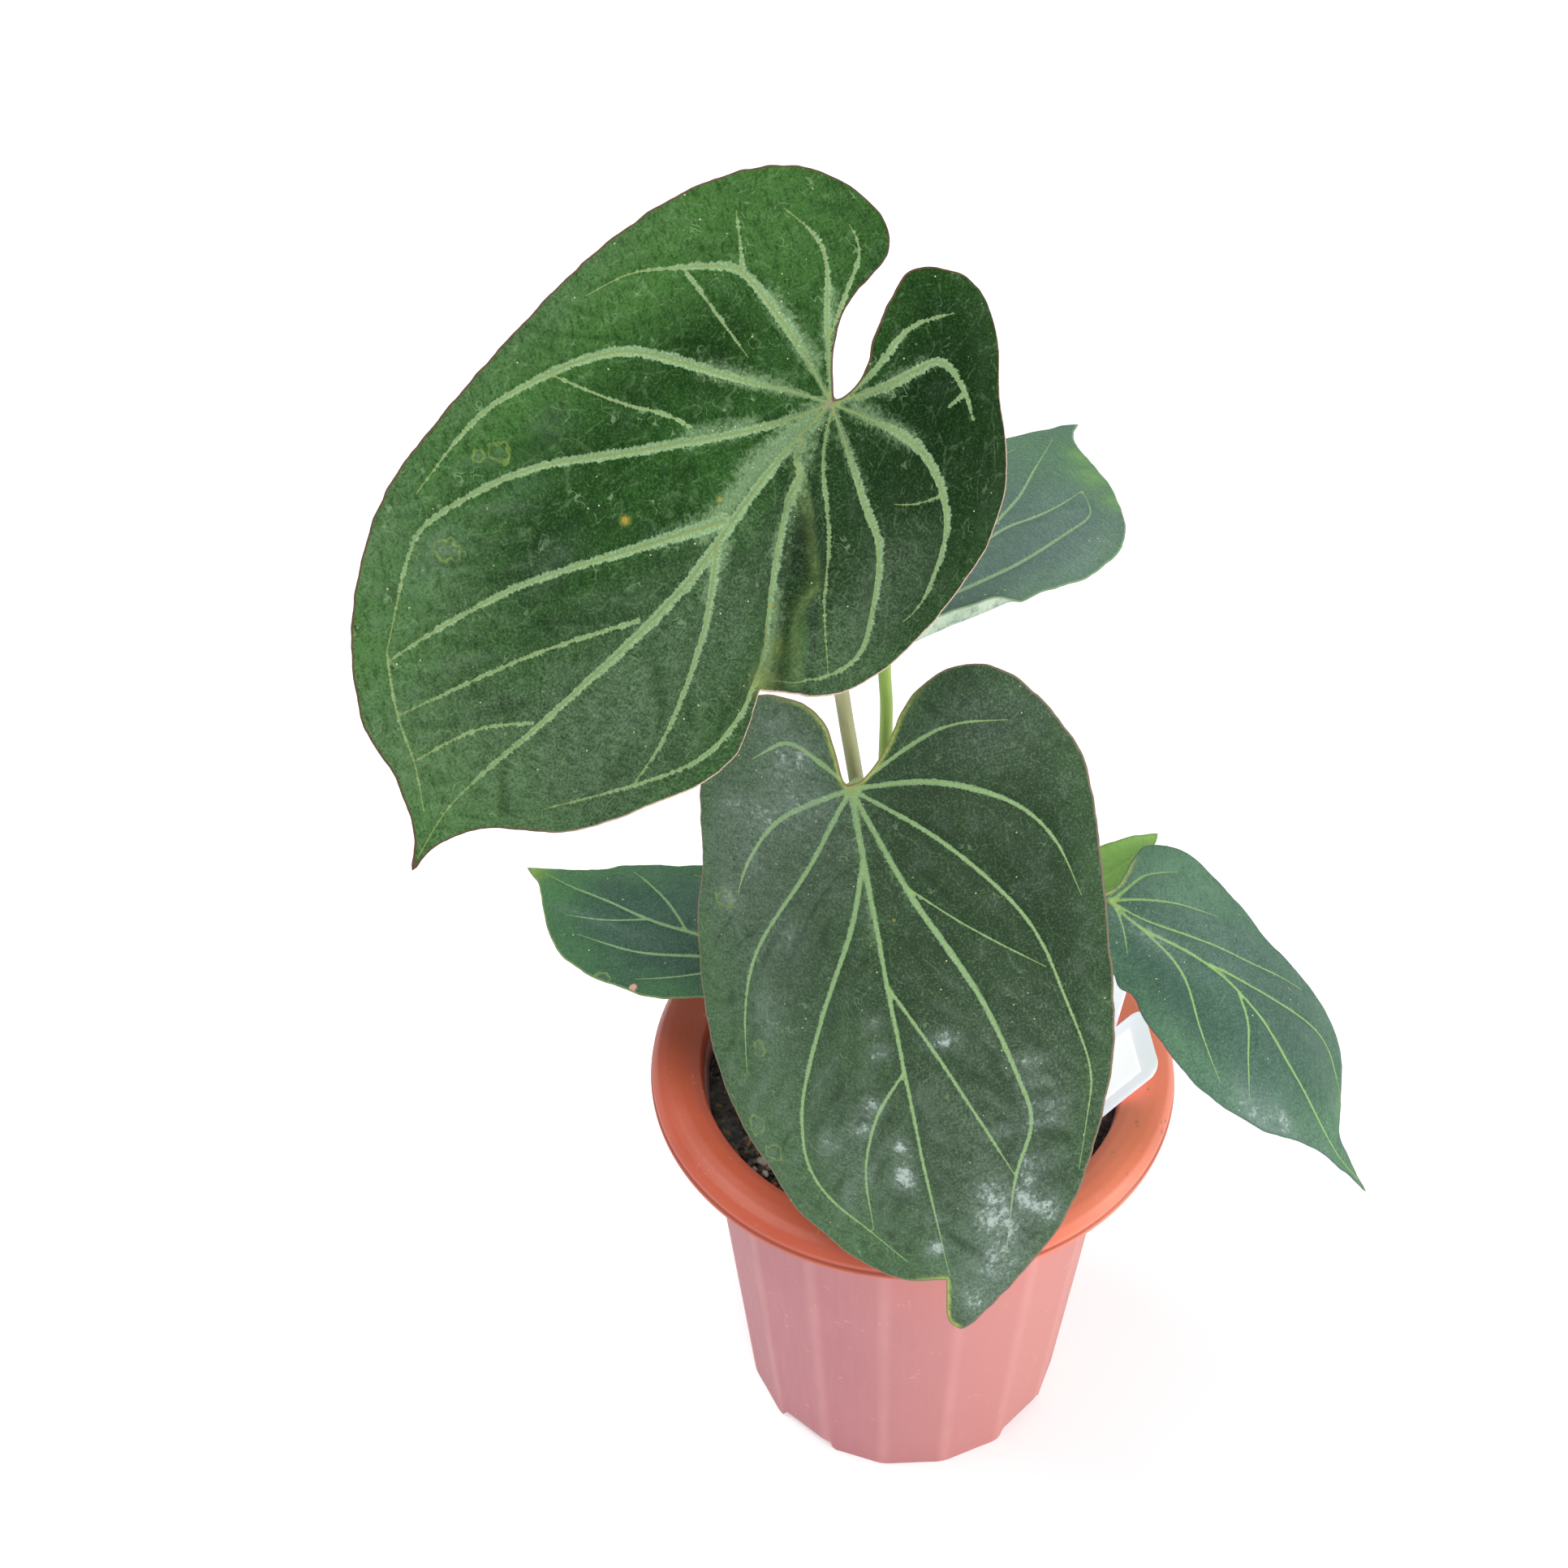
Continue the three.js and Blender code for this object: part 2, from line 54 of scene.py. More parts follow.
class Wire:
    """A socket of a material's nodes. Arithmetic on it adds the Math nodes for the sum."""

    def __init__(self, tree, socket=None):
        self.tree = tree
        self.socket = socket

    def node(self, kind, settings=None, inputs=None, output=0):
        made = self.tree.nodes.new("ShaderNode" + kind)
        for setting, value in (settings or {}).items():
            setattr(made, setting, value)
        for key, value in (inputs or {}).items():
            if isinstance(value, Wire):
                self.tree.links.new(value.socket, made.inputs[key])
            else:
                made.inputs[key].default_value = value
        return Wire(self.tree, made.outputs[output])

    def math(self, operation, *values):
        return self.node("Math", {"operation": operation}, dict(enumerate(values)))

    def __add__(self, other):
        return self.math("ADD", self, other)

    def __radd__(self, other):
        return self.math("ADD", other, self)

    def __sub__(self, other):
        return self.math("SUBTRACT", self, other)

    def __rsub__(self, other):
        return self.math("SUBTRACT", other, self)

    def __mul__(self, other):
        return self.math("MULTIPLY", self, other)

    def __rmul__(self, other):
        return self.math("MULTIPLY", other, self)

    def vector(self, operation, *values, output=0):
        return self.node("VectorMath", {"operation": operation}, dict(enumerate(values)), output)

    def split(self):
        parts = self.node("SeparateXYZ", inputs={0: self})
        sockets = parts.socket.node.outputs
        return [Wire(self.tree, sockets[k]) for k in range(3)]

    def join(self, x, y, z):
        return self.node("CombineXYZ", inputs={0: x, 1: y, 2: z})

    def rise(self, start, end):
        """Goes softly from 0 at start to 1 at end; start may be the larger of the two."""
        settings = {"interpolation_type": "SMOOTHSTEP"}
        return self.node("MapRange", settings, {"Value": self, "From Min": start, "From Max": end})

    def noise(self, size, detail=2.0, rough=0.5):
        """Cloudy noise of about 0.5, on a vector in millimetres, with lumps of that size."""
        inputs = {"Vector": self, "Scale": 1 / size, "Detail": detail, "Roughness": rough}
        return self.node("TexNoise", {"noise_dimensions": "3D"}, inputs)

    def cells(self, size, feature="F1", output=0):
        inputs = {"Vector": self, "Scale": 1 / size}
        return self.node("TexVoronoi", {"feature": feature}, inputs, output)

    def blend(self, first, second):
        """The first colour where this wire is 0, and the second where it is 1."""
        return self.node("Mix", {"data_type": "RGBA"}, {0: self, 6: first, 7: second}, 2)


def hue(red, green, blue):
    """A colour by its screen values from 0 to 255."""
    def linear(value):
        value /= 255
        return value / 12.92 if value <= 0.04045 else ((value + 0.055) / 1.055) ** 2.4
    return (linear(red), linear(green), linear(blue), 1.0)


def new_finish(name, **fixed):
    """A material, the start of its wires, and its shader with those values on its sockets."""
    material = bpy.data.materials.new(name)
    material.use_nodes = True
    shader = material.node_tree.nodes["Principled BSDF"]
    for socket, value in fixed.items():
        shader.inputs[socket.replace("_", " ")].default_value = value
    return material, Wire(material.node_tree), shader


def body_place(start):
    """The place on the body in millimetres."""
    place = start.node("TexCoord", output="Object")
    return start.node("VectorMath", {"operation": "SCALE"}, {0: place, 3: 1 / MM})


def dress(shader, colour, rough, height):
    """Puts on a surface its colour, its roughness and its bumps in millimetres."""
    bump = height.node("Bump", {}, {"Strength": 1.0, "Distance": MM, "Height": height})
    for socket, wire in (("Base Color", colour), ("Roughness", rough), ("Normal", bump)):
        wire.tree.links.new(wire.socket, shader.inputs[socket])


def make_piece(name, points, faces, finish, marks=None, rounded=True):
    """A piece from points in millimetres round the pot's axis; marks are values kept on them."""
    mesh = bpy.data.meshes.new(name)
    mesh.from_pydata((np.asarray(points, float) * MM + pot_axis).tolist(), [], faces)
    for mark, values in (marks or {}).items():
        values = np.asarray(values, np.float32)
        kind, field = ("FLOAT", "value") if values.ndim == 1 else ("FLOAT_VECTOR", "vector")
        mesh.attributes.new(mark, kind, "POINT").data.foreach_set(field, values.ravel())
    mesh.polygons.foreach_set("use_smooth", [rounded] * len(mesh.polygons))
    mesh.materials.append(finish)
    piece = bpy.data.objects.new(name, mesh)
    bpy.context.scene.collection.objects.link(piece)
    return piece


def mark_wire(start, mark, output="Vector"):
    return start.node("Attribute", {"attribute_name": mark}, output=output)


def softened(corners, cut, steps=4):
    """A profile with each corner rounded by a short curve."""
    corners = np.asarray(corners, float)
    out = [corners[0]]
    for before, corner, after in zip(corners, corners[1:], corners[2:]):
        back, on = before - corner, after - corner
        far_back, far_on = np.linalg.norm(back), np.linalg.norm(on)
        start = corner + back * min(cut, far_back * 0.45) / far_back
        end = corner + on * min(cut, far_on * 0.45) / far_on
        for t in np.linspace(0, 1, steps):
            out.append(start * (1 - t) ** 2 + 2 * corner * t * (1 - t) + end * t ** 2)
    out.append(corners[-1])
    return np.array(out)


def divided(profile, longest):
    """The same profile with no straight run longer than that."""
    out = [profile[0]]
    for start, end in zip(profile, profile[1:]):
        count = max(1, math.ceil(np.linalg.norm(end - start) / longest))
        out.extend(start + (end - start) * k / count for k in range(1, count + 1))
    return np.array(out)


def circle(count):
    """That many turns, evenly round a whole one."""
    return np.arange(count) * math.tau / count


def toward(turn):
    return np.array([math.cos(turn), math.sin(turn)])


def ring(radius, turn, height=0.0):
    """Points round the pot's axis at those turns."""
    return np.stack([radius * np.cos(turn), radius * np.sin(turn),
                     np.broadcast_to(height, turn.shape)], 1)


def revolved_faces(rows, turns):
    """Quads between rows of points round the axis, each row closed on itself."""
    faces = []
    for row in range(rows - 1):
        base, above = row * turns, (row + 1) * turns
        for k in range(turns):
            on = (k + 1) % turns
            faces.append((base + k, base + on, above + on, above + k))
    return faces


POT_TURNS = 320
RIM_UNDER = 145.0
FOOT_RADIUS, WALL_LOW = 53.2, 18.0
OUTER_LOW, OUTER_HIGH = 55.2, 69.2
FLOOR_UNDER, FLOOR_TOP = 5.0, 8.0
FLOOR_EDGE, MOUTH_RADIUS = 50.0, 68.8
FACETS = 16
FACET_PHASE = math.radians(14)
FACET_DEPTH, FACET_FADE = 1.1, 7.0
CORNER_FROM, CORNER_OVER = 0.74, 0.2
ARCH_ANGLES = np.radians([-130, -40, 50, 140])
ARCH_HALF_WIDTH, ARCH_SIDE, ARCH_HEIGHT = 10.0, 1.5, 4.7
DRAIN_RADIUS, DRAIN_RING = 5.0, 32.0
DRAIN_ANGLES = np.radians([-85, 5, 95, 185])

outside = softened([
    [FLOOR_EDGE, FLOOR_UNDER], [FLOOR_EDGE, 0], [FOOT_RADIUS, 0], [OUTER_LOW, WALL_LOW],
    [OUTER_HIGH, RIM_UNDER], [69.8, 149.4],
    [76, 152.2], [81, 150.4], [83.1, 147], [83.3, 145], [84.9, 145], [85, 146.7], [84.2, 147.3],
    [84.75, 149], [82.6, 152], [79.6, 153.5], [76, 154], [72, 153.4], [68.7, 151.4], [67.9, 148],
    [67.6, RIM_UNDER], [53.6, WALL_LOW], [52.5, FLOOR_TOP], [FLOOR_EDGE, FLOOR_TOP]], 0.8)
profile = divided(outside, 3.0)
angles = circle(POT_TURNS)
facet_turn = math.tau / FACETS
off_middle = ((angles - FACET_PHASE) % facet_turn) / facet_turn * 2 - 1
flatness = sum(np.roll(1 - off_middle ** 2, k) for k in range(-2, 3)) / 5
arch_side = np.full(POT_TURNS, 99.0)
for arch in ARCH_ANGLES:
    away = np.abs((angles - arch + math.pi) % math.tau - math.pi)
    arch_side = np.minimum(arch_side, away * FOOT_RADIUS)
arch_lift = ARCH_HEIGHT * np.clip((ARCH_HALF_WIDTH + ARCH_SIDE - arch_side) / ARCH_SIDE, 0, 1)
pot_points = []
for radius, height in profile:
    facet = FACET_DEPTH * np.clip((RIM_UNDER - height) / FACET_FADE, 0, 1)
    if height < FLOOR_UNDER or radius < FLOOR_EDGE + 0.01:
        facet = facet * np.clip((radius - FLOOR_EDGE) / 2, 0, 1)
    reach = radius - facet * flatness
    level = np.maximum(height, arch_lift) if height < FLOOR_UNDER else height
    pot_points.append(ring(reach, angles, level))
pot_points = np.vstack(pot_points)
pot_faces = revolved_faces(len(profile), POT_TURNS)
within = (np.arange(len(profile)) > profile[:, 1].argmax()) & (profile[:, 0] < MOUTH_RADIUS)
within = np.repeat(within, POT_TURNS).astype(float)
# Where each facet's corners are, for a painted highlight on them.
corner_highlight = np.tile(
    np.clip((np.abs(off_middle) - CORNER_FROM) / CORNER_OVER, 0, 1), len(profile))

# The floor between its under and upper rims, with the holes' walls.
rim_ring = ring(FLOOR_EDGE, angles)[:, :2]
hole_centres = [np.zeros(2)] + [DRAIN_RING * toward(turn) for turn in DRAIN_ANGLES]
hole_rings = [centre + ring(DRAIN_RADIUS, circle(32))[:, :2] for centre in hole_centres]
floor_flat = np.vstack([rim_ring, *hole_rings])
floor_edges, first = [], 0
for loop in [rim_ring, *hole_rings]:
    floor_edges += [(first + k, first + (k + 1) % len(loop)) for k in range(len(loop))]
    first += len(loop)
filled = geometry.delaunay_2d_cdt([Vector(p) for p in floor_flat], floor_edges, [], 1, 1e-5)
floor_faces = [f for f in filled[2] if all(
    np.linalg.norm(floor_flat[list(f)].mean(0) - centre) > DRAIN_RADIUS * 0.98
    for centre in hole_centres)]
count = len(pot_points)
size = len(floor_flat)
pot_points = np.vstack([pot_points, np.column_stack([floor_flat, np.full(size, FLOOR_UNDER)]),
                        np.column_stack([floor_flat, np.full(size, FLOOR_TOP)])])
within = np.concatenate([within, np.zeros(2 * size)])
corner_highlight = np.concatenate([corner_highlight, np.zeros(2 * size)])
pot_faces += [tuple(count + k for k in reversed(face)) for face in floor_faces]
pot_faces += [tuple(count + size + k for k in face) for face in floor_faces]
for a, b in floor_edges[POT_TURNS:]:
    pot_faces.append((count + a, count + b, count + size + b, count + size + a))

pot_plastic, start, shader = new_finish(
    "pot_plastic", Roughness=0.42, Coat_Weight=0.0, Specular_IOR_Level=0.45)
place = body_place(start)
x, y, z = place.split()
cloud = place.noise(22, 3)
grain = place.noise(0.9, 3, 0.6)
streaks = place.vector("MULTIPLY", place, (1.0, 1.0, 0.07)).noise(2.6, 3, 0.6)
below_rim = z.rise(146.4, 144.2)
red = (cloud * 0.9 + grain * 0.3 - 0.1).blend(hue(174, 72, 50), hue(192, 92, 64))
# The rim is painted lighter towards the right side: painted light.
red = (x.rise(0.0, 76.0) * 0.85).blend(red, hue(255, 142, 112))
chalk = (streaks * 0.7 + cloud * 0.5 - 0.1).blend(hue(168, 102, 108), hue(186, 121, 126))
# The body is painted lighter towards the right side: painted light.
chalk = x.rise(-30.0, 60.0).blend(chalk, hue(202, 131, 124))
# The facet corners are painted lighter in stripes: painted highlight where the corners catch the
# light.
corner = mark_wire(start, "corner", "Fac")
chalk = (z.rise(80.0, 146.0) * x.rise(-30.0, 20.0) * 0.6).blend(chalk, hue(204, 122, 102))
chalk = (corner * (0.06 + cloud * 0.24)).blend(chalk, hue(226, 168, 164))
colour = below_rim.blend(red, chalk)
rubbed = place.noise(7, 4, 0.7).rise(0.60, 0.68) * place.noise(1.3, 2).rise(0.5, 0.62)
colour = (rubbed * 0.45).blend(colour, hue(226, 160, 130))
on_rim = z.rise(148.5, 150.5)
soil = place.noise(4, 4, 0.75).rise(0.64, 0.69) * on_rim * (0.3 + x.rise(10.0, 70.0) * 0.7)
colour = (soil * 0.8).blend(colour, hue(158, 124, 98))
groove = z.rise(146.4, 147.0) * z.rise(148.0, 147.4)
colour = (groove * 0.55).blend(colour, hue(120, 50, 34))
# The inside wall is painted dark brown from just below the rim down to the mix.
inner_darkening = mark_wire(start, "within", "Fac") * (z + cloud * 9).rise(150.0, 141.0)
colour = (inner_darkening * 0.8).blend(colour, hue(74, 46, 34))
dress(shader, colour, 0.36 + below_rim * 0.14 + grain * 0.12 + soil * 0.2,
      grain * 0.03 + streaks * 0.05 + soil * 0.15)
pot = make_piece("nursery_pot", pot_points, pot_faces, pot_plastic,
                 {"within": within, "corner": corner_highlight})
sewn = bmesh.new()
sewn.from_mesh(pot.data)
bmesh.ops.remove_doubles(sewn, verts=sewn.verts, dist=1e-6)
bmesh.ops.recalc_face_normals(sewn, faces=sewn.faces)
sewn.to_mesh(pot.data)
sewn.free()
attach(pot, "root")
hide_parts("pot")

# Potting mix: damp composted bark, settled a finger's width below the rim. A closed body
# fills the pot, and loose shards, grit and a few coir strands lie pressed into its top.
MIX_TOP, MIX_BOTTOM, MIX_LOW_REACH = 138.0, 8.3, 53.2
MIX_TURNS, MIX_RINGS = 180, 48
CROWN_SPOT = np.array([-8.0, 6.0])


def cloudy(points, size, seed=0.0):
    """Soft noise from about -1 to 1 at each point, with lumps of that size."""
    points = np.asarray(points, float) / size
    if points.shape[1] == 2:
        points = np.column_stack([points, np.full(len(points), seed + 0.37)])
    else:
        points = points + (0.0, 0.0, seed)
    return np.array([noise.noise(Vector(p)) for p in points])


def capped_faces(rows, turns):
    """Revolved faces, with a flat face over the first row and the last."""
    last = (rows - 1) * turns
    return revolved_faces(rows, turns) + [
        tuple(reversed(range(turns))), tuple(range(last, last + turns))]


mix_turn = circle(MIX_TURNS)
mix_edge = MIX_LOW_REACH + (MIX_TOP - WALL_LOW) * (OUTER_HIGH - OUTER_LOW) / (RIM_UNDER - WALL_LOW)
mix_points = np.vstack([
    ring(reach, mix_turn, MIX_TOP) for reach in np.linspace(0.4, mix_edge, MIX_RINGS)])
crumbs = cloudy(mix_points[:, :2], 9, 4) * 1.4 + cloudy(mix_points[:, :2], 3.2, 8) * 0.9
mix_points[:, 2] += crumbs + cloudy(mix_points[:, :2], 1.4, 2) * 0.5 + 0.4
sides = [[mix_edge - 0.4, MIX_TOP - 6], [mix_edge - 4, 100], [mix_edge - 9, 60], [53.0, 18],
         [51.2, MIX_BOTTOM], [0.4, MIX_BOTTOM]]
mix_points = np.vstack([mix_points, *(ring(reach, mix_turn, height) for reach, height in sides)])
mix_faces = [tuple(reversed(face)) for face in capped_faces(MIX_RINGS + len(sides), MIX_TURNS)]

mix_finish, start, shader = new_finish("bark_mix", Specular_IOR_Level=0.3)
place = body_place(start)
crumb = place.cells(2.2)
lump = place.noise(3.5, 4, 0.7)
colour = lump.rise(0.35, 0.7).blend(hue(42, 42, 46), hue(84, 77, 72))
speck = place.cells(1.6, output=1).split()[0].rise(0.90, 0.93)
colour = (speck * 0.6).blend(colour, hue(122, 96, 72))
dress(shader, colour, 0.95 - lump * 0.4, crumb * 0.7 + lump * 1.2)
mix = make_piece("potting_bark", mix_points, mix_faces, mix_finish)
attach(mix, "root")
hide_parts("potting_mix")


def shard(random, length, width, height, corners):
    """A broken chip: the hull of a few points on a lumpy ball."""
    out = random.normal(size=(corners, 3))
    out /= np.linalg.norm(out, axis=1)[:, None]
    out *= random.uniform(0.75, 1.0, (corners, 1)) * np.array([length, width, height]) / 2
    mesh = bmesh.new()
    for point in out:
        mesh.verts.new(point)
    hull = bmesh.ops.convex_hull(mesh, input=mesh.verts)
    bmesh.ops.delete(mesh, geom=hull["geom_interior"], context="VERTS")
    mesh.verts.index_update()
    points = np.array([v.co for v in mesh.verts])
    faces = [tuple(v.index for v in face.verts) for face in mesh.faces]
    mesh.free()
    return points, faces


def turned(points, yaw, tip, roll):
    """Points turned about X, then Y, then Z."""
    for angle, first, second in ((roll, 1, 2), (tip, 2, 0), (yaw, 0, 1)):
        cosine, sine = math.cos(angle), math.sin(angle)
        a, b = points[:, first].copy(), points[:, second].copy()
        points[:, first] = a * cosine - b * sine
        points[:, second] = a * sine + b * cosine
    return points


def heap(parts):
    """Several sets of points and faces as one, with a number and a kind for each."""
    points, faces, tints = [], [], []
    total = 0
    for part_points, part_faces, tint in parts:
        points.append(part_points)
        faces += [tuple(total + k for k in face) for face in part_faces]
        tints.append(np.tile(tint, (len(part_points), 1)))
        total += len(part_points)
    return np.vstack(points), faces, np.vstack(tints)


SHARDS, KIND_SHARES = 1500, (0.80, 0.13, 0.07)
LENGTHS, LENGTH_SHARES = (3.0, 5.0, 8.0), (0.55, 0.33, 0.12)
CROWN_ROOM = 12.0
random = np.random.default_rng(11)
parts = []
for _ in range(SHARDS):
    reach = (mix_edge - 2.2) * math.sqrt(random.uniform(0, 1))
    spot = reach * toward(random.uniform(0, math.tau))
    kind = random.choice(3, p=KIND_SHARES)
    length = random.choice(LENGTHS, p=LENGTH_SHARES) * random.uniform(0.8, 1.3)
    if kind == 2:
        length = min(length, 4.0)
    width = length * random.uniform(0.45, 0.8)
    height = length * random.uniform(0.25, 0.5) if kind < 2 else width
    chip, chip_faces = shard(random, length, width, height, 9 if kind < 2 else 16)
    lean = 0.5 if length > 5 else 1.0
    chip = turned(chip, random.uniform(0, 6.3), random.normal(0, lean), random.normal(0, lean))
    past_edge = np.hypot(*chip[:, :2].T).max() > mix_edge - 0.6 - reach
    if past_edge or np.linalg.norm(spot - CROWN_SPOT) < CROWN_ROOM:
        continue
    chip += (spot[0], spot[1], MIX_TOP + random.uniform(0.2, 3.0))
    parts.append((chip, chip_faces, (random.uniform(0, 1), kind, 0)))
shard_points, shard_faces, tints = heap(parts)

shard_finish, start, shader = new_finish("bark_shards", Specular_IOR_Level=0.3)
place = body_place(start)
tint, kind, _ = mark_wire(start, "tint").split()
fibre = place.vector("MULTIPLY", place, (1.0, 0.35, 1.6)).noise(0.7, 3, 0.65)
dark = (tint * 0.8 + fibre * 0.5 - 0.2).blend(hue(40, 38, 38), hue(100, 86, 74))
warm = (tint * 0.6 + fibre * 0.7 - 0.2).blend(hue(92, 52, 28), hue(158, 104, 62))
pale = (tint * 0.7 + fibre * 0.5 - 0.1).blend(hue(120, 112, 102), hue(178, 170, 158))
colour = kind.rise(0.4, 0.6).blend(dark, warm)
colour = kind.rise(1.4, 1.6).blend(colour, pale)
damp = place.noise(9, 3).rise(0.4, 0.62)
colour = (damp * 0.5).blend(colour, hue(26, 21, 18))
dress(shader, colour, 0.95 - damp * 0.35, fibre * 0.35)
shards = make_piece("loose_shards", shard_points, shard_faces, shard_finish, {"tint": tints},
                    rounded=False)
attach(shards, "root")


def walked_along(line):
    """How far along a line each of its points is."""
    return np.concatenate([[0], np.cumsum(np.linalg.norm(np.diff(line, axis=0), axis=1))])


def run_through(points, step, pull=0.0):
    """Places about a step apart on a smooth curve through the points. A pull of 0.5 keeps
    the curve tight where the points are unevenly spaced."""
    points = np.asarray(points, float)
    if pull:
        padded = np.vstack([2 * points[0] - points[1], points, 2 * points[-1] - points[-2]])
    else:
        padded = np.vstack([points[:1], points, points[-1:]])
    gaps = np.linalg.norm(np.diff(padded, axis=0), axis=1) ** pull
    t = np.linspace(0, 1, 20, endpoint=False)[:, None]
    fine = []
    for k in range(len(points) - 1):
        a, b, c, d = padded[k:k + 4]
        before, here, after = gaps[k:k + 3]
        leave = here * ((b - a) / before - (c - a) / (before + here) + (c - b) / here)
        arrive = here * ((c - b) / here - (d - b) / (here + after) + (d - c) / after)
        fine.append((2 * t ** 3 - 3 * t ** 2 + 1) * b + (t ** 3 - 2 * t ** 2 + t) * leave
                    + (3 * t ** 2 - 2 * t ** 3) * c + (t ** 3 - t ** 2) * arrive)
    fine = np.vstack(fine + [points[-1:]])
    walked = walked_along(fine)
    at = np.linspace(0, walked[-1], max(2, round(walked[-1] / step)) + 1)
    return np.stack([np.interp(at, walked, fine[:, k]) for k in range(points.shape[1])], 1)


def swept(route, radii, sides, groove=0.0):
    """A closed tube along a route, and for each point its run along it and its angle."""
    ahead = np.gradient(route, axis=0)
    ahead /= np.linalg.norm(ahead, axis=1)[:, None]
    side = np.cross(ahead[0], (0.0, 0.0, 1.0) if abs(ahead[0][2]) < 0.9 else (0.0, 1.0, 0.0))
    turn = circle(sides)
    dent = 1 - groove * np.exp(-((np.abs(turn - math.pi) / 0.45) ** 2))
    points, runs, walked = [], [], walked_along(route)
    for centre, on, radius, run in zip(route, ahead, radii, walked):
        side = side - on * (side @ on)
        side /= np.linalg.norm(side)
        up = np.cross(on, side)
        around = np.cos(turn)[:, None] * side + np.sin(turn)[:, None] * up
        points.append(centre + around * (radius * dent)[:, None])
        runs.append(np.stack([np.full(sides, run), turn, np.full(sides, walked[-1] - run)], 1))
    faces = revolved_faces(len(route), sides)
    last = len(route) * sides
    faces += [(last, (k + 1) % sides, k) for k in range(sides)]
    faces += [(last + 1, last - sides + k, last - sides + (k + 1) % sides) for k in range(sides)]
    points += [route[:1] - ahead[:1] * 0.1, route[-1:] + ahead[-1:] * 0.1]
    runs += [[[0, 0, walked[-1]]], [[walked[-1], 0, 0]]]
    return np.vstack(points), faces, np.vstack(runs)


STRANDS, STRAND_SPREAD, STRAND_REACH = 34, 58.0, 61.0
parts = []
for _ in range(STRANDS):
    spot = STRAND_SPREAD * math.sqrt(random.uniform(0, 1)) * toward(random.uniform(0, math.tau))
    heading = random.uniform(0, math.tau)
    bends, strand = random.uniform(-1.2, 1.2, 3), []
    for bend in [0, *bends]:
        heading += bend
        strand.append([*spot, MIX_TOP + 2.4 + random.uniform(-0.8, 1.4)])
        spot = spot + random.uniform(3, 7) * toward(heading)
    if max(np.hypot(p[0], p[1]) for p in strand) > STRAND_REACH:
        continue
    strand = run_through(strand, 0.9)
    thick = random.uniform(0.18, 0.38)
    tube, tube_faces, _ = swept(strand, np.full(len(strand), thick), 6)
    parts.append((tube, tube_faces, (random.uniform(0, 1), 1, 0)))
coir_points, coir_faces, tints = heap(parts)
coir = make_piece("coir_strands", coir_points, coir_faces, shard_finish, {"tint": tints})
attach(coir, "root")

# Crown: the short woody stem that all the leaves rise from. It is knobbly, ringed by the
# scars of shed leaves, and stubby aerial roots run from it down into the mix.
CROWN_TURNS, ROOTS = 72, 13
crown_profile = divided(softened([
    [0.3, 120], [9, 120], [13, 132], [12.4, 137], [13.1, 139.5], [12.2, 141.5], [13.0, 143.6],
    [12.3, 145.4], [10.8, 146.9], [0.3, 147.2]], 0.9), 1.0)
crown_points = np.vstack([
    ring(radius, circle(CROWN_TURNS), height) for radius, height in crown_profile])
lumps = cloudy(crown_points, 7, 3) * 0.09 + cloudy(crown_points, 2.4, 5) * 0.035
crown_points[:, :2] *= 1 + lumps[:, None]
crown_points[:, :2] += CROWN_SPOT
parts = [(crown_points, capped_faces(len(crown_profile), CROWN_TURNS), (0.5, 0, 0))]
for k in range(ROOTS):
    away = toward(k * math.tau / ROOTS + random.uniform(-0.2, 0.2))
    start_high = random.uniform(139, 144)
    reach = random.uniform(18, 27)
    root = run_through([
        [*(CROWN_SPOT + away * 10.5), start_high], [*(CROWN_SPOT + away * 14), start_high - 0.4],
        [*(CROWN_SPOT + away * (reach - 4)), MIX_TOP + 2],
        [*(CROWN_SPOT + away * reach), MIX_TOP - 2]], 0.8)
    thick = random.uniform(1.1, 1.7) * np.linspace(1.1, 0.85, len(root))
    tube, tube_faces, _ = swept(root, thick, 14)
    parts.append((tube, tube_faces, (random.uniform(0, 1), 1, 0)))
crown_points, crown_faces, tints = heap(parts)

crown_finish, start, shader = new_finish("crown_wood", Specular_IOR_Level=0.35)
place = body_place(start)
tint, kind, _ = mark_wire(start, "tint").split()
grain = place.noise(1.6, 4, 0.7)
rings = place.vector("MULTIPLY", place, (0.25, 0.25, 2.2)).noise(1.5, 3, 0.6)
woody = (grain * 0.7 + rings * 0.6 - 0.2).blend(hue(78, 66, 42), hue(150, 132, 92))
rooty = (grain + tint * 0.4 - 0.3).blend(hue(96, 74, 50), hue(168, 138, 102))
dress(shader, kind.blend(woody, rooty), 0.55 + grain * 0.3, grain * 0.4 + rings * 0.5)
crown = make_piece("crown_stem", crown_points, crown_faces, crown_finish, {"tint": tints})
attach(crown, "root")
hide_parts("crown")

# Sheaths: dry papery scales left by older leaves. Each is a thin pointed sheet that stands
# on the mix, wraps round the crown, and has frayed to fibres along its edges.
SHEATH_THICKNESS, SHEATH_SEAT, SHEATH_LIFT = 0.35, 13.8, 0.3
SHEATH_HEADINGS = (75, 215, 305)


def inside_of(points, outline):
    """Whether each point is inside a closed outline."""
    crossed = np.zeros(len(points), bool)
    for (x0, y0), (x1, y1) in zip(outline, np.roll(outline, -1, axis=0)):
        if y0 != y1:
            spans = (points[:, 1] > y0) != (points[:, 1] > y1)
            crossed ^= spans & (points[:, 0] < x0 + (points[:, 1] - y0) * (x1 - x0) / (y1 - y0))
    return crossed


